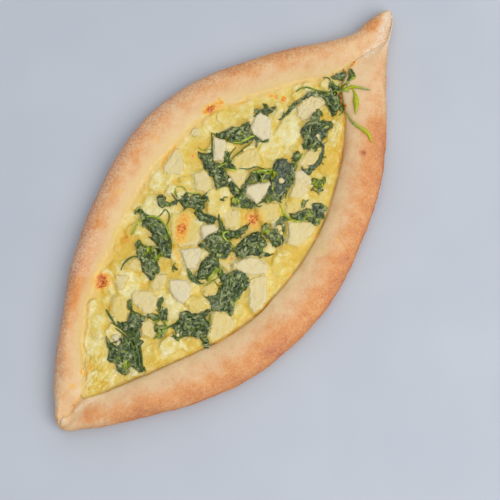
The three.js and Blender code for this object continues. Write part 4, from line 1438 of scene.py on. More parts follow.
# Each leaf's outline, as its corners in millimetres. A leaf's crumpling follows its place here.
LEAF_OUTLINES = """
left_bunch: -99.8,8.9 -97.1,7.6 -97.6,3.8 -100.9,0.4 -104.2,-3 -104.1,-6.4 -107.9,-6.9 -113.2,-11
-116.5,-15.3 -119.8,-18.7 -122.1,-17.2 -122.3,-13.1 -122.4,-9.8 -126.3,-11.2 -129,-10.8 -130.5,-7.8
-130.5,-3.5 -127.4,-1.1 -127.9,1.8 -129.1,5.6 -125.4,7.2 -122.5,7.8 -122.1,10.7 -120.2,11.4 -118.1,9.7
-117.7,4.9 -113.8,6.3 -113,8.6 -108.6,4.4 -105.6,4.3 -105.4,9.5;
left_scrap: -90,19.1 -87.7,18.4 -90.3,15.1 -92.3,12.2 -91.1,7.2 -92.2,5.5 -90.7,2.4 -94.6,1.9 -97.5,1.3
-101.3,0.9 -105.6,0.9 -103.6,5 -102.2,8.6 -104.9,11.6 -107,15 -103.5,13.6 -100.9,11.3 -96.6,12.2
-93.1,13.3 -92.2,16.5;
left_wing: -117.6,16.9 -116.9,14.9 -117.3,12 -119.5,9.4 -122.3,9.8 -120.1,12.4;
sprig_right: -89.7,1.6 -85.8,0.4 -84,-4.1 -78.8,-4.3 -77.2,-4.7 -84.4,-10.3 -86,-8.2 -85.6,-5.4
-90.3,-6.9 -89.5,-2.5;
sprig_top: -79.4,2 -76.4,3.6 -73.1,2.7 -74.1,0.6 -77.8,-0.1 -80.3,-4.6 -83.7,-5.6 -83.9,-3.2 -80.7,-0.7;
near_left: -73.9,-14 -70.5,-16.4 -70,-20.2 -67.7,-24.4 -64.1,-25.8 -61,-27.6 -64.6,-29.5 -67.4,-29.2
-67.5,-33.5 -71.6,-35.8 -76.3,-37.3 -79.2,-41.2 -82,-43 -83.8,-41.8 -80.9,-37.9 -80.3,-33.2 -83,-28.6
-86.6,-25.5 -90.7,-21.2 -91.2,-19 -86.8,-21.5 -85.1,-19.3 -85.9,-14.9 -81.8,-15.9 -79.4,-15.7;
long_band: -36,-22.6 -32.7,-23.5 -28.9,-27.4 -27,-31 -28.1,-35.2 -31.9,-38.1 -36.3,-38.9 -40.1,-38.4
-45.3,-38.2 -49.3,-39.6 -53.3,-42.2 -56.2,-42.8 -56.7,-41.1 -54.4,-38.5 -57.4,-35.7 -59.1,-31.2
-60.9,-30 -60.1,-27.7 -56.6,-26.7 -56.2,-23.9 -56.4,-18.1 -55,-22.1 -51.1,-25 -46.3,-24.7 -40.9,-23.9;
crescent: -40.2,44.7 -38.3,44.5 -36,42 -33.7,37.8 -33.5,33.7 -34.6,29.4 -37,25.8 -38.9,22.6 -41.5,19.3
-46,16.2 -49.7,14.2 -50.2,17.2 -53.2,20 -51.3,23.1 -48.1,25.7 -47.4,30.5 -46.8,35.2 -45.2,33.1
-43.3,36.3 -42.8,40.1 -43.3,43.1;
crescent_tip: -40.1,52.6 -37.8,53.1 -35.7,52.6 -35,50.6 -35.4,47.7 -36.4,44.3 -38.5,46.1 -37.7,48.4
-37.9,50.9;
flecked_leaf: -52.9,39.9 -51.5,38 -54.5,35.2 -51.1,30.2 -49,25.8 -53.2,20 -57.6,19.1 -59.3,15.6 -62,14.8
-64.7,16.1 -67.9,13.5 -69.5,15.7 -68.1,19.4 -68.1,22.7 -64.3,26.6 -62.3,30.8 -60.8,34.5 -56.3,37.6;
upper_left: -22.5,46.6 -20.3,46.6 -18.4,44.7 -18.8,41.8 -20.8,41.1 -19.3,37.9 -16.2,36.1 -14,34.4
-17.4,34.3 -21.1,35.7 -23.1,38.4 -25.9,39.7 -25.9,43.1;
upper_middle: -14.4,34.8 -12.3,33.1 -7.7,34.1 -6.2,33.1 -9.1,31.3 -8,28.7 -5.5,28.9 -2.1,25.5 -4.1,23.6
-2,23.1 -0.9,20.5 -2.1,18.7 -5,19 -8.1,17.5 -11.6,17.4 -11.6,20.8 -13.6,23.5 -15.1,26.6 -18.5,26.5
-18.4,27.5 -16.3,28.2 -15.9,31.1;
upper_lower: -14.9,20.8 -11,19.6 -11.3,15.9 -10.3,10.7 -8.7,6.8 -13,5.2 -16,9.7 -17.1,15.7;
central: -30.3,4.6 -26.5,4.1 -22.7,3.6 -18.8,2.4 -15.7,-1.1 -16.3,-5.9 -15.6,-11.3 -18.1,-14.9
-23.5,-15.6 -27.8,-15.6 -29.7,-11.9 -31.6,-8.3 -30,-3.7 -29.9,0.6;
central_low: -34.4,-4.5 -30.5,-7.4 -29.5,-10.9 -33.6,-15.7 -38.7,-14.6 -44.9,-14.3 -47.9,-11.5
-49.6,-8.7 -48.4,-6.4 -42.6,-4.9 -37.3,-4.2;
central_tail: -48.2,1.3 -47.9,-1.4 -49.5,-6 -50.5,-10.2 -49.8,-13.9 -52.1,-11.4 -53,-7 -51.4,-2.4;
under_curd: -12.2,-2.7 -8.8,-7.7 -5.4,-11 -1.5,-11.5 1.3,-13.6 -1.5,-14.9 -5.4,-14.4 -10.1,-13.8
-12.6,-10.6 -13,-6.7;
pointed_leaf: -16.3,-16 -11.4,-15.7 -5.8,-17.3 -1.5,-19.1 1.3,-22.1 -0.2,-25.8 -0.2,-29.2 -3.1,-32.2
-6.8,-30.7 -8.1,-33.5 -6.5,-37.3 -4.3,-39 -8.3,-37.8 -10.8,-33.8 -13.6,-30.8 -14.5,-27.3 -18.2,-25.9
-20.6,-22.7 -21.6,-19.2 -19.3,-16.6;
small_fold: 5.3,-21.6 8.5,-22.5 7.2,-26.9 9.5,-29.4 13.2,-27.4 17.6,-27.5 20.3,-28.8 20,-32.4 17,-31.3
14.1,-34.3 11,-35.9 7.3,-37.8 4,-40.3 1.3,-39 -1,-38.2 0.5,-34.5 1.1,-29.8 1.7,-26 1.7,-22.6;
near_clump: 23.5,-30.7 25.4,-34.3 30,-35.9 33.7,-39 35.5,-41.9 38.4,-38.9 40.3,-40.8 42.4,-43.5
42.9,-46.5 42.2,-49.6 38.4,-49.1 36,-51.7 33.7,-50.9 30.7,-51.4 28.3,-50.7 27.2,-48.1 28.5,-46.3
26.3,-44.6 27.4,-42.1 23.7,-38.9 22.2,-35.8 22.2,-32.4;
clump_strand: 31.6,-35.6 34.2,-33.2 37.1,-33.1 39.2,-35.8 36.6,-35.2 33,-36.2;
bright_scrap: 51.2,-29.3 53.8,-29.9 55.6,-32.8 55.3,-34.7 59.3,-34.2 59.1,-36.2 56.4,-37.3 53.3,-36.6
51.1,-39.5 48.8,-38.7 49.2,-35.9 48.5,-33.8 45.2,-32.9 48.7,-32.9 49.9,-31.1;
near_crescent: 54.1,-19.4 55.9,-22.4 59,-23.5 62.3,-24.4 65.8,-24.3 69.4,-23.3 72.5,-22.7 73.9,-19.9
74.6,-17.3 76.6,-18.8 74.8,-22.3 72.8,-24.2 68.6,-25.6 64,-26.5 59.8,-26.3 55.9,-25.8 53.3,-25.2
52.2,-22.6;
fold_scrap: 59,-7.3 62.3,-9.9 60.2,-12.3 55.6,-13.2 54.2,-11.3;
split_leaf: 93.1,-3.9 94.6,-5.3 92.9,-6.6 89.8,-7.2 87.1,-8.3 90,-10.4 92.6,-14.5 91.6,-17.8 88.5,-18.4
85,-17.2 82.1,-19.3 79.1,-17.7 76.1,-18.3 73.1,-17.9 69.9,-17.8 67.2,-14.8 65.7,-11.6 67.5,-9.4
70.9,-6.9 72.9,-3.7 77.1,-2.2 81.6,-2.2 84.3,-3.6 87.2,-1.4 90.5,-2.4;
right_arc: 71.2,14.8 75.6,13.8 79.5,13.3 83.6,13.8 87.5,13.4 91.6,12.1 95.4,10.7 99.4,9.5 102.8,6.8
103.7,3.2 101.6,2.5 98.7,6.3 95.3,9 90.6,10.5 85.6,11.1 80.2,11.3 75.8,12.3 72.5,13.2;
right_bunch: 102.5,5.8 106,0.7 109.1,-2.2 111.4,-4.7 111.2,-7.4 109.2,-10.6 106.8,-13.3 106.1,-15.9
103.2,-16.8 102.7,-13.8 99.9,-13.7 96.6,-14 97.3,-11.4 99.5,-8.4 99.6,-5 102,-2.3 101.8,2.7;
right_small: 110.4,0.6 114.5,2.8 115.5,0.9 115.6,-3.3 115.8,-6.5 113.7,-7.3 111,-5 109.6,-2.6;
right_upper: 117.9,4.5 120,1.8 123.8,0.3 126.6,-1 124.2,-3.7 120.6,-3.8 117.7,0.1 116.9,2.9;
right_top: 128.4,-3 130.2,-4.2 129,-7.3 127.1,-9.5 124.4,-10.2 122.5,-8.2 120.2,-8.7 115.3,-9.3 114.9,-7
119.7,-6.9 122.8,-6.3 125.7,-4.1;
forked_shred: 118.9,-12.4 118.1,-15.5 116.7,-18.2 114.1,-21.8 110.5,-24.1 107.6,-25 104.6,-26.3
106.2,-24.3 108.6,-21.7 111,-19 114.7,-16.8 116.9,-15.1;
forked_prong: 115,-8.4 118.5,-10.1 120.7,-11.8 121.9,-15.2 123.6,-19.1 124.4,-21.9 125.1,-24.3
122.8,-21.4 121.1,-17.5 119.1,-13.9 116.8,-11.4 114.4,-10.6;
long_shred: 103.3,-18.8 102.9,-21.7 101,-25.6 100.4,-29.4 100.2,-33.8 100.8,-37.6 100.2,-41.4 97.9,-44.7
96,-47.4 96,-44.5 97.6,-40.8 97.9,-37.2 97.8,-33 98.3,-28.5 99.9,-24.7;
column: 20.3,44.6 22.3,40.2 25.8,36.8 21.2,32.9 18.7,30.5 18.7,27 20.9,23.6 19.1,19.6 17.4,14.9 14.6,14
11.1,15.2 8.2,17.3 6.1,18.2 9,21.3 11.5,24.9 13.7,30.1 13.5,33.8 16.4,38.1 17.3,41.5;
column_low: 19.5,22.6 19.5,19.1 17.8,13.9 16.6,9.2 16.2,4.6 13,6.4 10.9,7.4 12.5,11.1 14.5,15.3
16.6,19.5;
column_side: 20.4,32.7 21.9,29.5 23.2,26.2 26.1,25.8 27.9,28.6 30.9,30.4 32.9,28.5 30.1,24.6 27.7,22
27.3,19.1 26.5,15.5 24.5,18.7 23.7,21.5 19.6,23.4 16.8,26.4 18.1,30;
far_leaf: 36.8,41.9 40.8,40.6 43.7,38.6 47.5,35.4 51.5,32.5 54.4,32.1 57.1,29.8 56.6,26.9 53.4,25.3
52,22.5 52.3,19.8 48.9,20.2 45.2,21.6 42.1,24.4 39.4,29.2 37.6,32.1 38.6,35.5 37.5,38.1;
far_hook: 52.4,21.1 52.4,17.7 52.2,15 54.7,13.4 56.9,11.7 55.5,10.6 52.7,11.9 51,14.9 49.6,15.5
46.6,14.3 46.9,15.6 49.9,17.5;
ring_left: 28.3,6.2 31.4,6.8 36.1,3.5 41.6,-2.5 40.4,-5.1 34.5,-5.3 29.9,-2.8 25.4,1.4 21.6,3.6 18.5,3
15.9,1.8 14.7,-3.4 14.5,-7.8 15.6,-10.3 12.9,-9 10,-7 8.1,-3.3 5.8,0.9 3.2,3.1 5.4,5.3 8.6,5.6 11.5,5.3
14.8,4.4 18.4,5.4 22.4,5.9;
ring_right: 44.2,-2.2 48.4,-2.5 50.5,-3.4 51,-6.4 52,-10 53.5,-13.1 52.6,-15.5 49.9,-15.4 46.4,-17.6
42.1,-20 39,-20.6 36.4,-20 34.1,-20.9 31.3,-19.6 27.7,-20.6 26.4,-22.9 25.2,-20.8 24.7,-17.8 21.1,-15.4
18.4,-12.4 15.3,-10.6 19.1,-11.1 23.8,-10.9 28.3,-10 31.9,-9 33.5,-6.5 36.5,-4.7 39.9,-4.6 41.2,-2.8;
far_scrap: 67.6,32.7 69.3,30.5 69.7,28.2 72,27.5 73.8,30.5 74.9,30.1 75.3,27.3 74.9,24.9 75.8,22.6
78.8,21 74.4,21.5 71.4,21.8 68.1,23.2 68.7,26.6 66.4,28.4 64.2,28.4 65.8,30.4;
speck_left: -52.6,9.9 -51.8,8.3 -52.5,5.3 -53.8,7.6;
speck_middle: 2.2,11 3,11.9 3.9,11.2 3.4,10.4 3.8,8.9 2.9,9 2.9,10.2;
fold_link: -36.5,-14.7 -33.9,-16.9 -34.9,-20.2 -35.9,-24.3 -37.4,-28 -40.6,-27.1 -41,-23.2 -40,-19;
sprig_link: -90.5,-6 -87.8,-10.6 -88.7,-13.8 -92.1,-14.8 -96.6,-13.3 -98.2,-11.2 -94.8,-10.2 -93.9,-7;
middle_link: -9,4 -8.3,3 -9.8,-0.6 -11.5,-3.1 -9.7,-6.6 -7.7,-10.5 -8,-13.3 -11.2,-14 -12.2,-11
-15.3,-10.3 -16.7,-5.8 -17.2,-1.3 -13.9,0
"""

# Each stem: its radius in the middle and its tone from dark to bright, then its points.
STEM_LINES = """
0.85 0.75: -53.3,44.7 -50.3,45.3 -45.8,46.2 -41,46.6 -38,45.5 -35,42.8 -33.1,39.1 -32.8,35.9 -33.3,32.1
-35.3,27.9 -38.1,23.6;
0.45 0.25: -32.9,38.4 -29.6,37.6 -25.5,37.8 -25,36 -26.3,33.3 -29.2,31.4 -33.5,30.2;
0.6 0.05: -62,29.3 -62.3,32.5 -63.9,34.7 -67.9,36.6 -71.8,36.6 -76,35.4;
0.8 0.1: -102.7,27.1 -104,24.3 -105.4,20.6 -106.6,16.2;
0.95 0.55: -85.4,-7.8 -87.9,-12.2 -93.1,-12.1 -99.1,-10.8;
0.8 0.12: -107.5,18.3 -106.9,7.5 -107.8,-0.5 -112.8,-8.4 -119.1,-14.8;
0.75 0.2: -108.8,14 -109,7.4 -110.2,-0.3 -115.3,-7.1 -121,-12.8;
0.75 0.05: -105.6,14 -104.8,6.6 -106.2,-2.6 -111.1,-9.3 -116.4,-14.6;
0.6 0.28: -107.4,12 -105.9,5 -108.9,-3.4 -114,-10;
0.6 0.1: -80.4,-16.5 -84.4,-14.6 -88.7,-12.9;
0.6 0.6: -9.5,41.2 -11.7,39.1 -14,35.2;
0.5 0.05: -13.8,41.3 -14.7,38 -15.4,34.9;
0.4 0.7: -8.7,41 -6.3,39.5 -5.4,36.7 -6.3,34.3;
0.5 0.7: -7.4,33.5 -5.2,30 -1.9,25.7;
0.6 0.1: -9.4,8.8 -8.6,4.4 -6.1,6.3 -9.4,3.3 -12.6,-0.5 -12.6,-3.9;
0.75 0.95: -11.4,-6.3 -13.3,-4.4 -15.7,-4.6 -16.7,-7.8 -16.4,-11;
0.4 0.7: -9.6,-22.8 -8.1,-25.9 -8.1,-29.2 -8.5,-32.1;
0.5 0.8: -35.1,-16.1 -38.8,-14.7 -43.1,-14.6 -46.8,-14.1;
0.5 0.6: -39.6,-38.1 -44.4,-38.4 -48.7,-38.3;
0.45 0.45: -62.6,-30.1 -66.5,-32.7 -70.9,-35.7;
0.7 0.8: 24.7,-22.1 22.7,-25.3 21.2,-29 20.8,-33.5 21.3,-36.5 23.5,-39.9 27.6,-41.9;
0.45 0.8: 24.6,-39.1 28.8,-41.8 30.2,-44.2;
0.6 0.55: 62.5,-13.2 58.4,-13.6 54,-13.6 50.4,-15.8;
0.75 0.9: 39.5,29.3 42.7,25.7 46.5,23.5 50,21.9 52.2,20.1;
0.45 0.2: 48.1,19.6 42.3,20.3 36.6,21.9 30,23.7;
0.4 0.2: 38.7,26.1 33.3,26.3 29.7,25.2;
0.45 0.1: 27.7,15.2 31.2,10.1 35.6,6.6 38.3,1.8;
0.5 0.1: 36.3,45.4 32.1,41.7 26.5,37.4 20.1,32;
0.6 0.3: 36.1,45.6 37.4,42.3 38.9,40.9;
0.45 0.8: 23,46.7 23.3,43.5 25.1,40.6 27.1,37.9;
0.7 0.9: 19.3,27.5 21.8,26 25.5,24.5;
0.45 0.85: 20.8,21.8 23.5,18.8 26.3,15.7;
0.9 0.8: 31,5.7 35,2.8 38.2,-0.8 41.2,-3.6;
0.65 0.45: 94.8,17.1 98.1,16.2 101.2,13.4 102.9,9.5 105,4.2 108.4,-1.9 112.4,-4.8 115.5,-7.7;
0.5 0.8: 114.1,2.5 114.9,-2.1 115.1,-7;
0.5 0.3: 113.6,8.1 115.7,5.4 115.2,2.5;
0.7 0.85: 108.2,-5.3 111.2,-5.6 114.1,-7.7 115.2,-10.3 115.3,-12.8;
0.5 0.05: 52,22.6 52.3,19.3 51.6,16.2;
0.5 0.2: 72.4,-16.8 70.5,-19.1 67.9,-18.5;
0.5 0.85: -46.2,-15.3 -41.7,-16.2 -35.4,-16.5 -31.9,-15.6;
0.35 0.5: -49.8,-16.3 -44.6,-17.5 -40.2,-19.3 -35.7,-20.2;
0.35 0.4: -43.2,-18.2 -44.7,-21.9 -43.1,-25
"""


@dataclass
class SpinachLeaves:
    """The wilted spinach: crumpled leaves cut to their outlines, with torn scraps and stems."""

    finish: SpinachFinish = SpinachFinish()
    stem_finish: StemFinish = StemFinish()
    outlines: dict[str, Array] = field(default_factory=lambda: dict(drawn(LEAF_OUTLINES)))
    stems: str = STEM_LINES
    thickness: float = 0.5
    clearance: float = 0.3
    cell: float = 0.6
    torn_edge: float = 1.7
    plain_edge: float = 0.3
    hem: float = 2.6
    first_seed: int = 100
    seed_step: int = 23
    sprouts: Grain = Grain(2.4, 15, 2)
    tones: Grain = Grain(7, 33, 2)
    plain_leaves: tuple[str, ...] = ("forked_shred", "forked_prong", "long_shred")
    tatter_shapes: int = 8
    tatter_rows: int = 6
    tatter_cols: int = 5
    tatters_a_square_metre: float = 90000.0
    tatter_scales: tuple[float, float] = (0.7, 1.1)
    tatter_tilt: float = 0.3
    tatter_yaw: float = 0.9
    tatter_seed: int = 4
    thread_share: float = 0.3
    strand_step: float = 0.8
    spine_points: int = 24
    spots: Spots = field(default_factory=lambda: {
        Mark.FRESH: (
            (-55, 32, 4, 0.8, -54, 21), (-123, -2.5, 3, 0.9, -125, -8.4), (-102, 27, 3, 0.4),
            (-93, -11, 4, 0.6), (-82, -1, 2.5, 0.5, -90, -5), (-48, -13.5, 1.6, 1, -33, -17),
            (3, -21.6, 2.8, 1, 4.9, -28.7), (10.8, -27.3, 1.8, 0.9), (-18, -15, 1.6, 0.7),
            (53, -33, 6, 1), (33.8, 7.8, 2.6, 0.9, 39.5, -6.7), (7.5, 3.9, 3, 0.7),
            (29.7, -11.5, 3, 0.6, 22.3, -10.9), (21.2, 22.1, 1.4, 0.9, 26.2, 16.1),
            (42, 28, 2, 0.5, 53, 21), (97, 18, 1.6, 0.7, 108, -2), (122, -9, 6, 1, 106, -26),
            (124, -12, 4, 0.8, 128, -23), (107, -17, 5, 1, 98, -46), (112, -3, 2.4, 0.9, 118, -8),
            (-80, -24, 3, 0.35),
        ),
        # Where the leaves get painted grey-blue reflections of the sky.
        Mark.SKY_REFLECTION: (
            (46, -8, 7, 1, 34, -13), (-108.8, 8.5, 5, 0.9), (91, 4, 3, 0.8, 100, 9),
            (123.9, 0.2, 3, 0.7), (55, -22, 3.5, 0.8, 72, -22), (36, -44, 5, 0.8), (-98.8, 10, 4, 0.7),
            (78, -15, 5, 0.6), (-57, -30, 5, 0.4),
        ),
    })

    def crumple(self, x: Array, y: Array, seed: int) -> tuple[Array, Array]:
        """The crumpling of a wilted leaf.

        Args:
            x: First place on the leaf.
            y: Second place on the leaf.
            seed: Which leaf it is.

        Returns:
            The height from about -1 to 1, and how much each place is a ridge, from 0 to 1.
        """
        u = x / 2.2 + 1.6 * Grain(6, seed + 5, 2).sway(x, y)
        v = y + 5.5 * Grain(7, seed + 7, 2).sway(x, y)
        broad = Grain(5.0, seed + 11, 1).folds(u, v) ** 1.2
        fine = Grain(1.7, seed + 13, 1).folds(1.2 * u, v) ** 1.2
        crinkle = Grain(1.5, seed + 17, 1).folds(x, y)
        rough = 1.5 * broad + 1.0 * fine + 0.3 * crinkle - 1.3
        ridge = 0.37 * broad + 0.4 * fine + 0.14 * crinkle
        return rough, ridge

    def cut(self, corners: Array) -> tuple[Array, Array]:
        """Fills an outline with small triangles.

        Args:
            corners: The outline's corners.

        Returns:
            The flat points, and the triangles, each counterclockwise.
        """
        border = []
        for a, b in zip(corners, np.roll(corners, -1, 0)):
            steps = max(2, math.ceil(math.dist(a, b) / self.cell))
            border += list(lerp(a, b, np.linspace(0, 1, steps, endpoint=False)[:, None]))
        low, high = corners.min(0), corners.max(0)
        rows, cols = ((high - low) / self.cell).astype(int) + 2
        i, j = np.meshgrid(np.arange(rows), np.arange(cols), indexing="ij")
        x = (low[0] + self.cell * (i + 0.5 * (j % 2) + 0.3 * lattice(i, j, 5) - 0.5)).ravel()
        y = (low[1] + self.cell * (j + 0.3 * lattice(i, j, 6) - 0.5)).ravel()
        kept = depth_inside(corners, x, y) > 0.55 * self.cell
        flat = np.concatenate([border, np.stack([x, y], 1)[kept]]).tolist()
        edges = [(k, (k + 1) % len(border)) for k in range(len(border))]
        points, _, faces = delaunay_2d_cdt([Vector(p) for p in flat], edges, [], 1, 1e-4, False)[:3]
        points, faces = np.array(points), np.array(faces)
        faces = faces[depth_inside(corners, *points[faces].mean(1).T) > 0]
        a, b, c = (points[faces[:, k]].T for k in range(3))
        area = (b[0] - a[0]) * (c[1] - a[1]) - (b[1] - a[1]) * (c[0] - a[0])
        return points, np.where(area[:, None] > 0, faces, faces[:, ::-1])

    def closed(self, faces: Array, count: int) -> list[Sequence[int]]:
        """The faces of a closed sheet: the triangles, the same below, and walls round the border."""
        ways = np.concatenate([faces[:, [0, 1]], faces[:, [1, 2]], faces[:, [2, 0]]])
        both = set(map(tuple, ways.tolist()))
        walls = [(a, a + count, b + count, b) for a, b in both if (b, a) not in both]
        return [*faces.tolist(), *(faces[:, ::-1] + count).tolist(), *sorted(walls)]

    def leaf(self, name: str, seed: int, ground: Ground) -> tuple[Array, list, dict[str, Array]]:
        """One crumpled leaf.

        Args:
            name: Which outline it is cut to.
            seed: Its own number, for its own crumpling.
            ground: What it lies on.

        Returns:
            The points, the faces and the numbers for the material.
        """
        plain, corners = name in self.plain_leaves, self.outlines[name]
        flat, faces = self.cut(corners)
        depth = np.maximum(depth_inside(corners, *flat.T), 0)
        torn = self.plain_edge if plain else self.torn_edge
        x, y = (flat[:, k] + torn * Grain(2.0, seed + k, 2).sway(*flat.T) for k in (0, 1))
        run = np.linalg.eigh(np.cov(flat.T))[1][:, 1]
        rough, ridge = self.crumple(x * run[0] + y * run[1], y * run[0] - x * run[1], seed)
        ribs = np.sin(2.1 * depth + 7 * Grain(6, seed + 23, 2).at(x, y))
        rough, ridge = rough + 0.3 * ribs, ridge + 0.1 * ribs
        dome = smooth(depth / self.hem) ** 0.7
        rise = dome * (0.4 + 2.2 * Grain(8, seed + 29, 2).at(x, y)) + rough * (0.5 + 0.9 * dome)
        fleck = smooth((Grain(1.8, seed + 19, 2).at(x, y) - 0.42) * 5)
        sprout = 0.7 * smooth((self.sprouts.at(x, y) - 0.72) * 9)
        # The fold numbers paint shade into the hollows and highlights onto the ridges.
        fold, strew = 0.02 + 0.9 * ridge, 0.35 + 0.65 * smooth((depth - 0.4) / 1.2)
        if plain:
            rise = 1.9 * smooth(depth / 1.7) ** 0.6 + 0.2 * rough
            fleck, sprout, fold, strew = 1.0, 0.0, 0.6 + 0.4 * ridge, 0.0 * depth
        base = ground.at(x, y)
        z = np.maximum(base + 0.35 + rise, base + self.clearance)
        each = {
            "fold": fold,
            "fresh": np.maximum(spread(self.spots, Mark.FRESH, x, y) * fleck, sprout),
            "slate": spread(self.spots, Mark.SKY_REFLECTION, x, y),
            "tone": lerp(chance(seed), self.tones.at(x, y), 0.6),
        }
        numbers = {title: np.tile(values, 2) for title, values in each.items()}
        numbers["strew"] = np.concatenate([strew, 0 * strew])
        numbers["run"] = np.broadcast_to(np.array([run[0], run[1], 0.0]), (2 * len(x), 3))
        points = sheet_points(x, y + PLAN_SHIFT, z + self.thickness, z)
        return points, self.closed(faces, len(x)), numbers

    def leaves(self, ground: Ground, material: Material) -> Piece:
        """Every leaf, as one object on the ground."""
        points, faces, numbers, count = [], [], {}, 0
        for i, name in enumerate(self.outlines):
            p, f, n = self.leaf(name, self.first_seed + self.seed_step * i, ground)
            points.append(p)
            faces += [[corner + count for corner in face] for face in f]
            for key, values in n.items():
                numbers.setdefault(key, []).append(values)
            count += len(p)
        merged = {k: np.concatenate(v) for k, v in numbers.items()}
        return build_mesh("spinach_leaves", np.concatenate(points), faces, material, merged)

    def tatter(self, n: int, material: Material) -> Piece:
        """One small torn scrap of leaf, for strewing: its middle at the origin, along X."""
        rows, cols = self.tatter_rows, self.tatter_cols
        length, width = lerp(3.2, 6.0, chance(n + 0.3)), lerp(1.6, 3.0, chance(n + 0.7))
        t = np.linspace(0, 1, rows)[:, None]
        side = np.linspace(-1, 1, cols)[None, :]
        taper = 0.25 + 0.75 * np.sin(np.pi * np.clip(t, 0.03, 0.97)) ** 0.7
        torn = 1 + 1.3 * Grain(1.9, 500 + n, 2).sway(t * length, 9 * np.sign(side) + 0 * t)
        ragged = 1.2 * Grain(1.6, 520 + n).sway(9 * side, 9 * t) * np.abs(2 * t - 1)
        x = (t - 0.5) * length + 0 * side + ragged
        y = side * (width / 2) * taper * torn + 0.9 * np.sin(3 * t + n)
        rough, ridge = self.crumple(x + 20 * n, y, 540 + n)
        z = 0.4 * rough + 0.5 * (1 - side**2) * np.sin(np.pi * t)
        # Painted shade in the scrap's hollows and painted highlights on its ridges.
        numbers = {"fold": np.tile((0.1 + 0.85 * ridge).ravel(), 2)}
        points = sheet_points(x, y, z + 0.3, z - 0.1)
        return build_mesh(f"tatter_{n}", points, sheet_faces(rows, cols), material, numbers)

    def threads(self) -> list[tuple[float, float, Array]]:
        """Short torn threads along the leaves' borders, as thin stems."""
        threads, n = [], 0
        for name, corners in self.outlines.items():
            for (ax, ay), (bx, by) in zip(corners, np.roll(corners, -1, 0)):
                n += 1
                if name in self.plain_leaves or chance(3.1 * n) > self.thread_share:
                    continue
                turn, bend, long_, thick, tone = (chance(3.1 * n + k) for k in (0.7, 1.3, 1.9, 2.3, 2.9))
                way = math.atan2(by - ay, bx - ax) - lerp(-0.1, 1.5, turn)
                bend, step = lerp(-0.9, 0.9, bend), lerp(1.0, 2.3, long_)
                route = [(lerp(ax, bx, 0.3), lerp(ay, by, 0.3))]
                for k in range(3):
                    (x, y), turned = route[-1], way + bend * (k - 0.5)
                    route.append((x + step * math.cos(turned), y + step * math.sin(turned)))
                threads.append((lerp(0.3, 0.55, thick), lerp(0.0, 0.3, tone), np.array(route)))
        return threads

    def stem_lines(self, ground: Ground) -> Piece:
        """The stems' middle lines on the ground, with their thickness and tone, as a mesh of edges."""
        stems = [(*map(float, head.split()), route) for head, route in drawn(self.stems)]
        points, edges, thick, tones, n = [], [], [], [], self.spine_points
        swell = 0.35 + 0.65 * np.sin(np.pi * np.linspace(0.02, 0.98, n)) ** 0.6
        for radius, tone, route in [*stems, *self.threads()]:
            places = np.arange(len(route))
            x, y = (Profile(np.stack([places, way], 1))(np.linspace(0, places[-1], n)) for way in route.T)
            z = np.convolve(np.pad(ground.at(x, y), 2, mode="edge"), np.ones(5) / 5, mode="valid") + 0.6
            edges += [(len(thick) + k, len(thick) + k + 1) for k in range(n - 1)]
            points += list(zip(x * MM, (y + PLAN_SHIFT) * MM, z * MM))
            thick += list(radius * swell)
            tones += [tone] * n
        mesh = bpy.data.meshes.new("stem_lines")
        mesh.from_pydata(points, edges, [])
        for title, values in (("thick", thick), ("tone", tones)):
            layer = mesh.attributes.new(title, "FLOAT", "POINT")
            layer.data.foreach_set("value", np.array(values, np.float32))
        return bpy.data.objects.new("stem_lines", mesh)

    def build(self, *bed: Piece) -> dict[str, Piece]:
        """Builds and dresses the leaves, the scraps strewn over them and the fresh stems.

        Args:
            bed: What the leaves lie on.

        Returns:
            The leaves, the scraps and the stems.
        """
        material = self.finish.material()
        leaves = self.leaves(Ground(*bed), material)
        shapes = shelf("tatters", [self.tatter(n, material) for n in range(self.tatter_shapes)])
        scraps = StrewTree().grow(leaves, "spinach_scraps", {
            "Density": self.tatters_a_square_metre, "Seed": self.tatter_seed,
            "Smallest": self.tatter_scales[0], "Largest": self.tatter_scales[1],
            "Tilt": self.tatter_tilt, "Yaw": self.tatter_yaw, "Shapes": shapes, "Finish": material})
        stems = StrandTree().grow(self.stem_lines(Ground(*bed, leaves)), "spinach_stems", {
            "Step": self.strand_step * MM, "Radius": MM, "Finish": self.stem_finish.material()})
        return {"leaves": leaves, "scraps": scraps, "stems": stems}


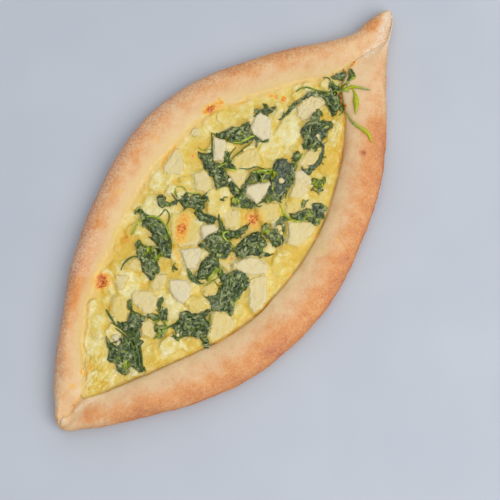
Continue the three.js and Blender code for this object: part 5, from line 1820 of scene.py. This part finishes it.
@dataclass
class CurdCrumbs:
    """Small crumbs of curd that lie on the leaves and the filling."""

    finish: FetaFinish = FetaFinish()
    flatness: float = 0.34
    lift: float = 0.2
    first_seed: int = 60
    # Each placed crumb: its place and its size.
    placed: tuple[Row, ...] = (
        (38.2, -13.4, 4.6), (37.6, -16.2, 2.4), (10.6, -31.4, 4), (9.2, -34.4, 3.6), (14.3, -32.5, 2),
        (-113.4, 9.3, 5), (-115.2, 6.1, 3.6), (-114.1, 11.3, 3.6), (16.9, 15, 3), (77.6, -14, 3.6),
        (76.6, -16.4, 2.6), (-87.3, -22, 2.2), (-68.9, -36.2, 2),
    )

    def lump(self, size: float, seed: int) -> tuple[Array, list[list[int]]]:
        """One rough crumb round the origin.

        Args:
            size: Its width.
            seed: Its own number.

        Returns:
            Its points and its faces.
        """
        ball = bmesh.new()
        bmesh.ops.create_icosphere(ball, subdivisions=2, radius=size / 2)
        points = np.array([v.co[:] for v in ball.verts])
        faces = [[v.index for v in f.verts] for f in ball.faces]
        ball.free()
        stretch = (lerp(0.8, 1.35, chance(seed)), lerp(0.6, 1.1, chance(seed + 0.4)), self.flatness)
        dents = 1 + 1.2 * Grain(0.6 * size, seed, 2).sway(points[:, 0] + points[:, 2], points[:, 1])
        return points * stretch * dents[:, None], faces

    def build(self, bed: Ground) -> Piece:
        """Builds the crumbs on what they lie on, as one object."""
        points, faces, melt = np.empty((0, 3)), [], []
        for seed, (x, y, size) in enumerate(self.placed, self.first_seed):
            lump, sides = self.lump(size, seed)
            faces += [[corner + len(points) for corner in side] for side in sides]
            melt += [lerp(0.0, 0.7, chance(seed + 0.8))] * len(lump)
            place = (x, y + PLAN_SHIFT, float(bed.at(x, y)) + self.lift * size)
            points = np.concatenate([points, lump + place])
        return build_mesh("curd_crumbs", points, faces, self.finish.material(), {"melt": np.array(melt)})


def direction(azimuth: float, elevation: float) -> Vector:
    """The unit vector towards a place seen at that azimuth and elevation, in degrees."""
    a, e = math.radians(azimuth), math.radians(elevation)
    return Vector((math.sin(a) * math.cos(e), -math.cos(a) * math.cos(e), math.sin(e)))


@dataclass(frozen=True)
class Lamp:
    """One square soft light that looks at the bread: degrees, metres and watts."""

    name: str
    azimuth: float
    elevation: float
    away: float
    size: float
    watts: float
    tint: Colour = (1.0, 1.0, 1.0)

    def light(self) -> None:
        """Puts the light into the scene."""
        data = bpy.data.lights.new(self.name, "AREA")
        data.shape, data.size, data.energy, data.color = "SQUARE", self.size, self.watts, self.tint
        lamp = placed(self.name, data)
        lamp.location = direction(self.azimuth, self.elevation) * self.away
        lamp.rotation_euler = (-lamp.location).to_track_quat("-Z", "Y").to_euler()


@dataclass
class Studio:
    """The pale floor, the soft lights and the camera."""

    target: tuple[float, float, float] = (-11.71, -24.36 + PLAN_SHIFT, 8.0)
    azimuth: float = -52.658
    elevation: float = 80.0
    distance: float = 850.0
    lens: float = 90.28
    sensor: float = 36.0
    far_clip: float = 50.0
    floor_half: float = 1600.0
    floor_depth: float = 0.05
    floor_tones: tuple[Colour, Colour] = ((186, 192, 202), (190, 196, 205))
    lamps: tuple[Lamp, ...] = (
        Lamp("key", 4, 52, 1.3, 0.9, 8.5, (1.0, 0.985, 0.96)),
        Lamp("fill", 125, 50, 1.5, 1.4, 2.8, (0.96, 0.98, 1.0)),
        Lamp("overhead", 0, 88, 1.4, 1.2, 3.2),
    )
    sky: tuple[float, float, float, float] = (0.93, 0.96, 1.0, 1.0)
    sky_strength: float = 0.5

    def floor(self) -> None:
        """The plain pale floor under the bread."""
        h, z = self.floor_half, -self.floor_depth
        corners = np.array([(-h, -h, z), (h, -h, z), (h, h, z), (-h, h, z)])
        g = Graph("pale_floor")
        colour = g.ramp(g.band(g.noise(90, 2), 0.3, 0.7), tuple(zip((0.0, 1.0), self.floor_tones)))
        build_mesh("floor", corners, [(0, 1, 2, 3)], g.finish(Base_Color=colour, Roughness=0.8))

    def world(self) -> None:
        """The pale sky."""
        world = bpy.data.worlds.new("pale_sky")
        world.use_nodes = True
        sockets = world.node_tree.nodes["Background"].inputs
        sockets["Color"].default_value, sockets["Strength"].default_value = self.sky, self.sky_strength
        bpy.context.scene.world = world

    def camera(self) -> None:
        """The camera, high above the bread and a little to its near left."""
        back = direction(self.azimuth, self.elevation)
        data = bpy.data.cameras.new("view")
        data.lens, data.sensor_width, data.clip_end = self.lens, self.sensor, self.far_clip
        view = placed("view", data)
        view.location = (Vector(self.target) + back * self.distance) * MM
        view.rotation_mode = "QUATERNION"
        view.rotation_quaternion = (-back).to_track_quat("-Z", "Y")
        bpy.context.scene.camera = view

    def set_up(self) -> None:
        """Makes the floor, the lights, the sky and the camera, and plain colour handling."""
        self.floor()
        for lamp in self.lamps:
            lamp.light()
        self.world()
        self.camera()
        bpy.context.scene.view_settings.view_transform = "Standard"


def settle(piece: Piece, nodes: Sequence[str] = ()) -> None:
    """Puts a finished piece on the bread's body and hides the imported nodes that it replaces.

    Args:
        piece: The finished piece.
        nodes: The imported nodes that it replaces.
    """
    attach(piece, "root")
    if nodes:
        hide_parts(*nodes)
    LOG.info("%s: %d faces", piece.name, len(piece.data.polygons))


def main() -> None:
    """Builds the pide and its studio."""
    logging.basicConfig(level=logging.INFO, format="%(name)s: %(message)s")
    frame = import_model()
    nodes = frame["nodes"]
    form = DoughForm()
    dough = DoughBoat(form).build()
    settle(dough, ["dough"])
    chunks = FetaChunks()
    feta = chunks.build(nodes)
    settle(feta, sorted(n for n in nodes if n.startswith("feta_")))
    filling = CheeseFilling(form).build(Ground(dough), Ground(feta), chunks.melt_at)
    settle(filling, ["filling"])
    spinach = SpinachLeaves().build(dough, filling)
    settle(spinach["leaves"], sorted(n for n in nodes if n.startswith("spinach_")))
    settle(spinach["scraps"])
    settle(spinach["stems"])
    settle(CurdCrumbs().build(Ground(filling, spinach["leaves"])))
    Studio().set_up()


if __name__ == "__main__":
    main()
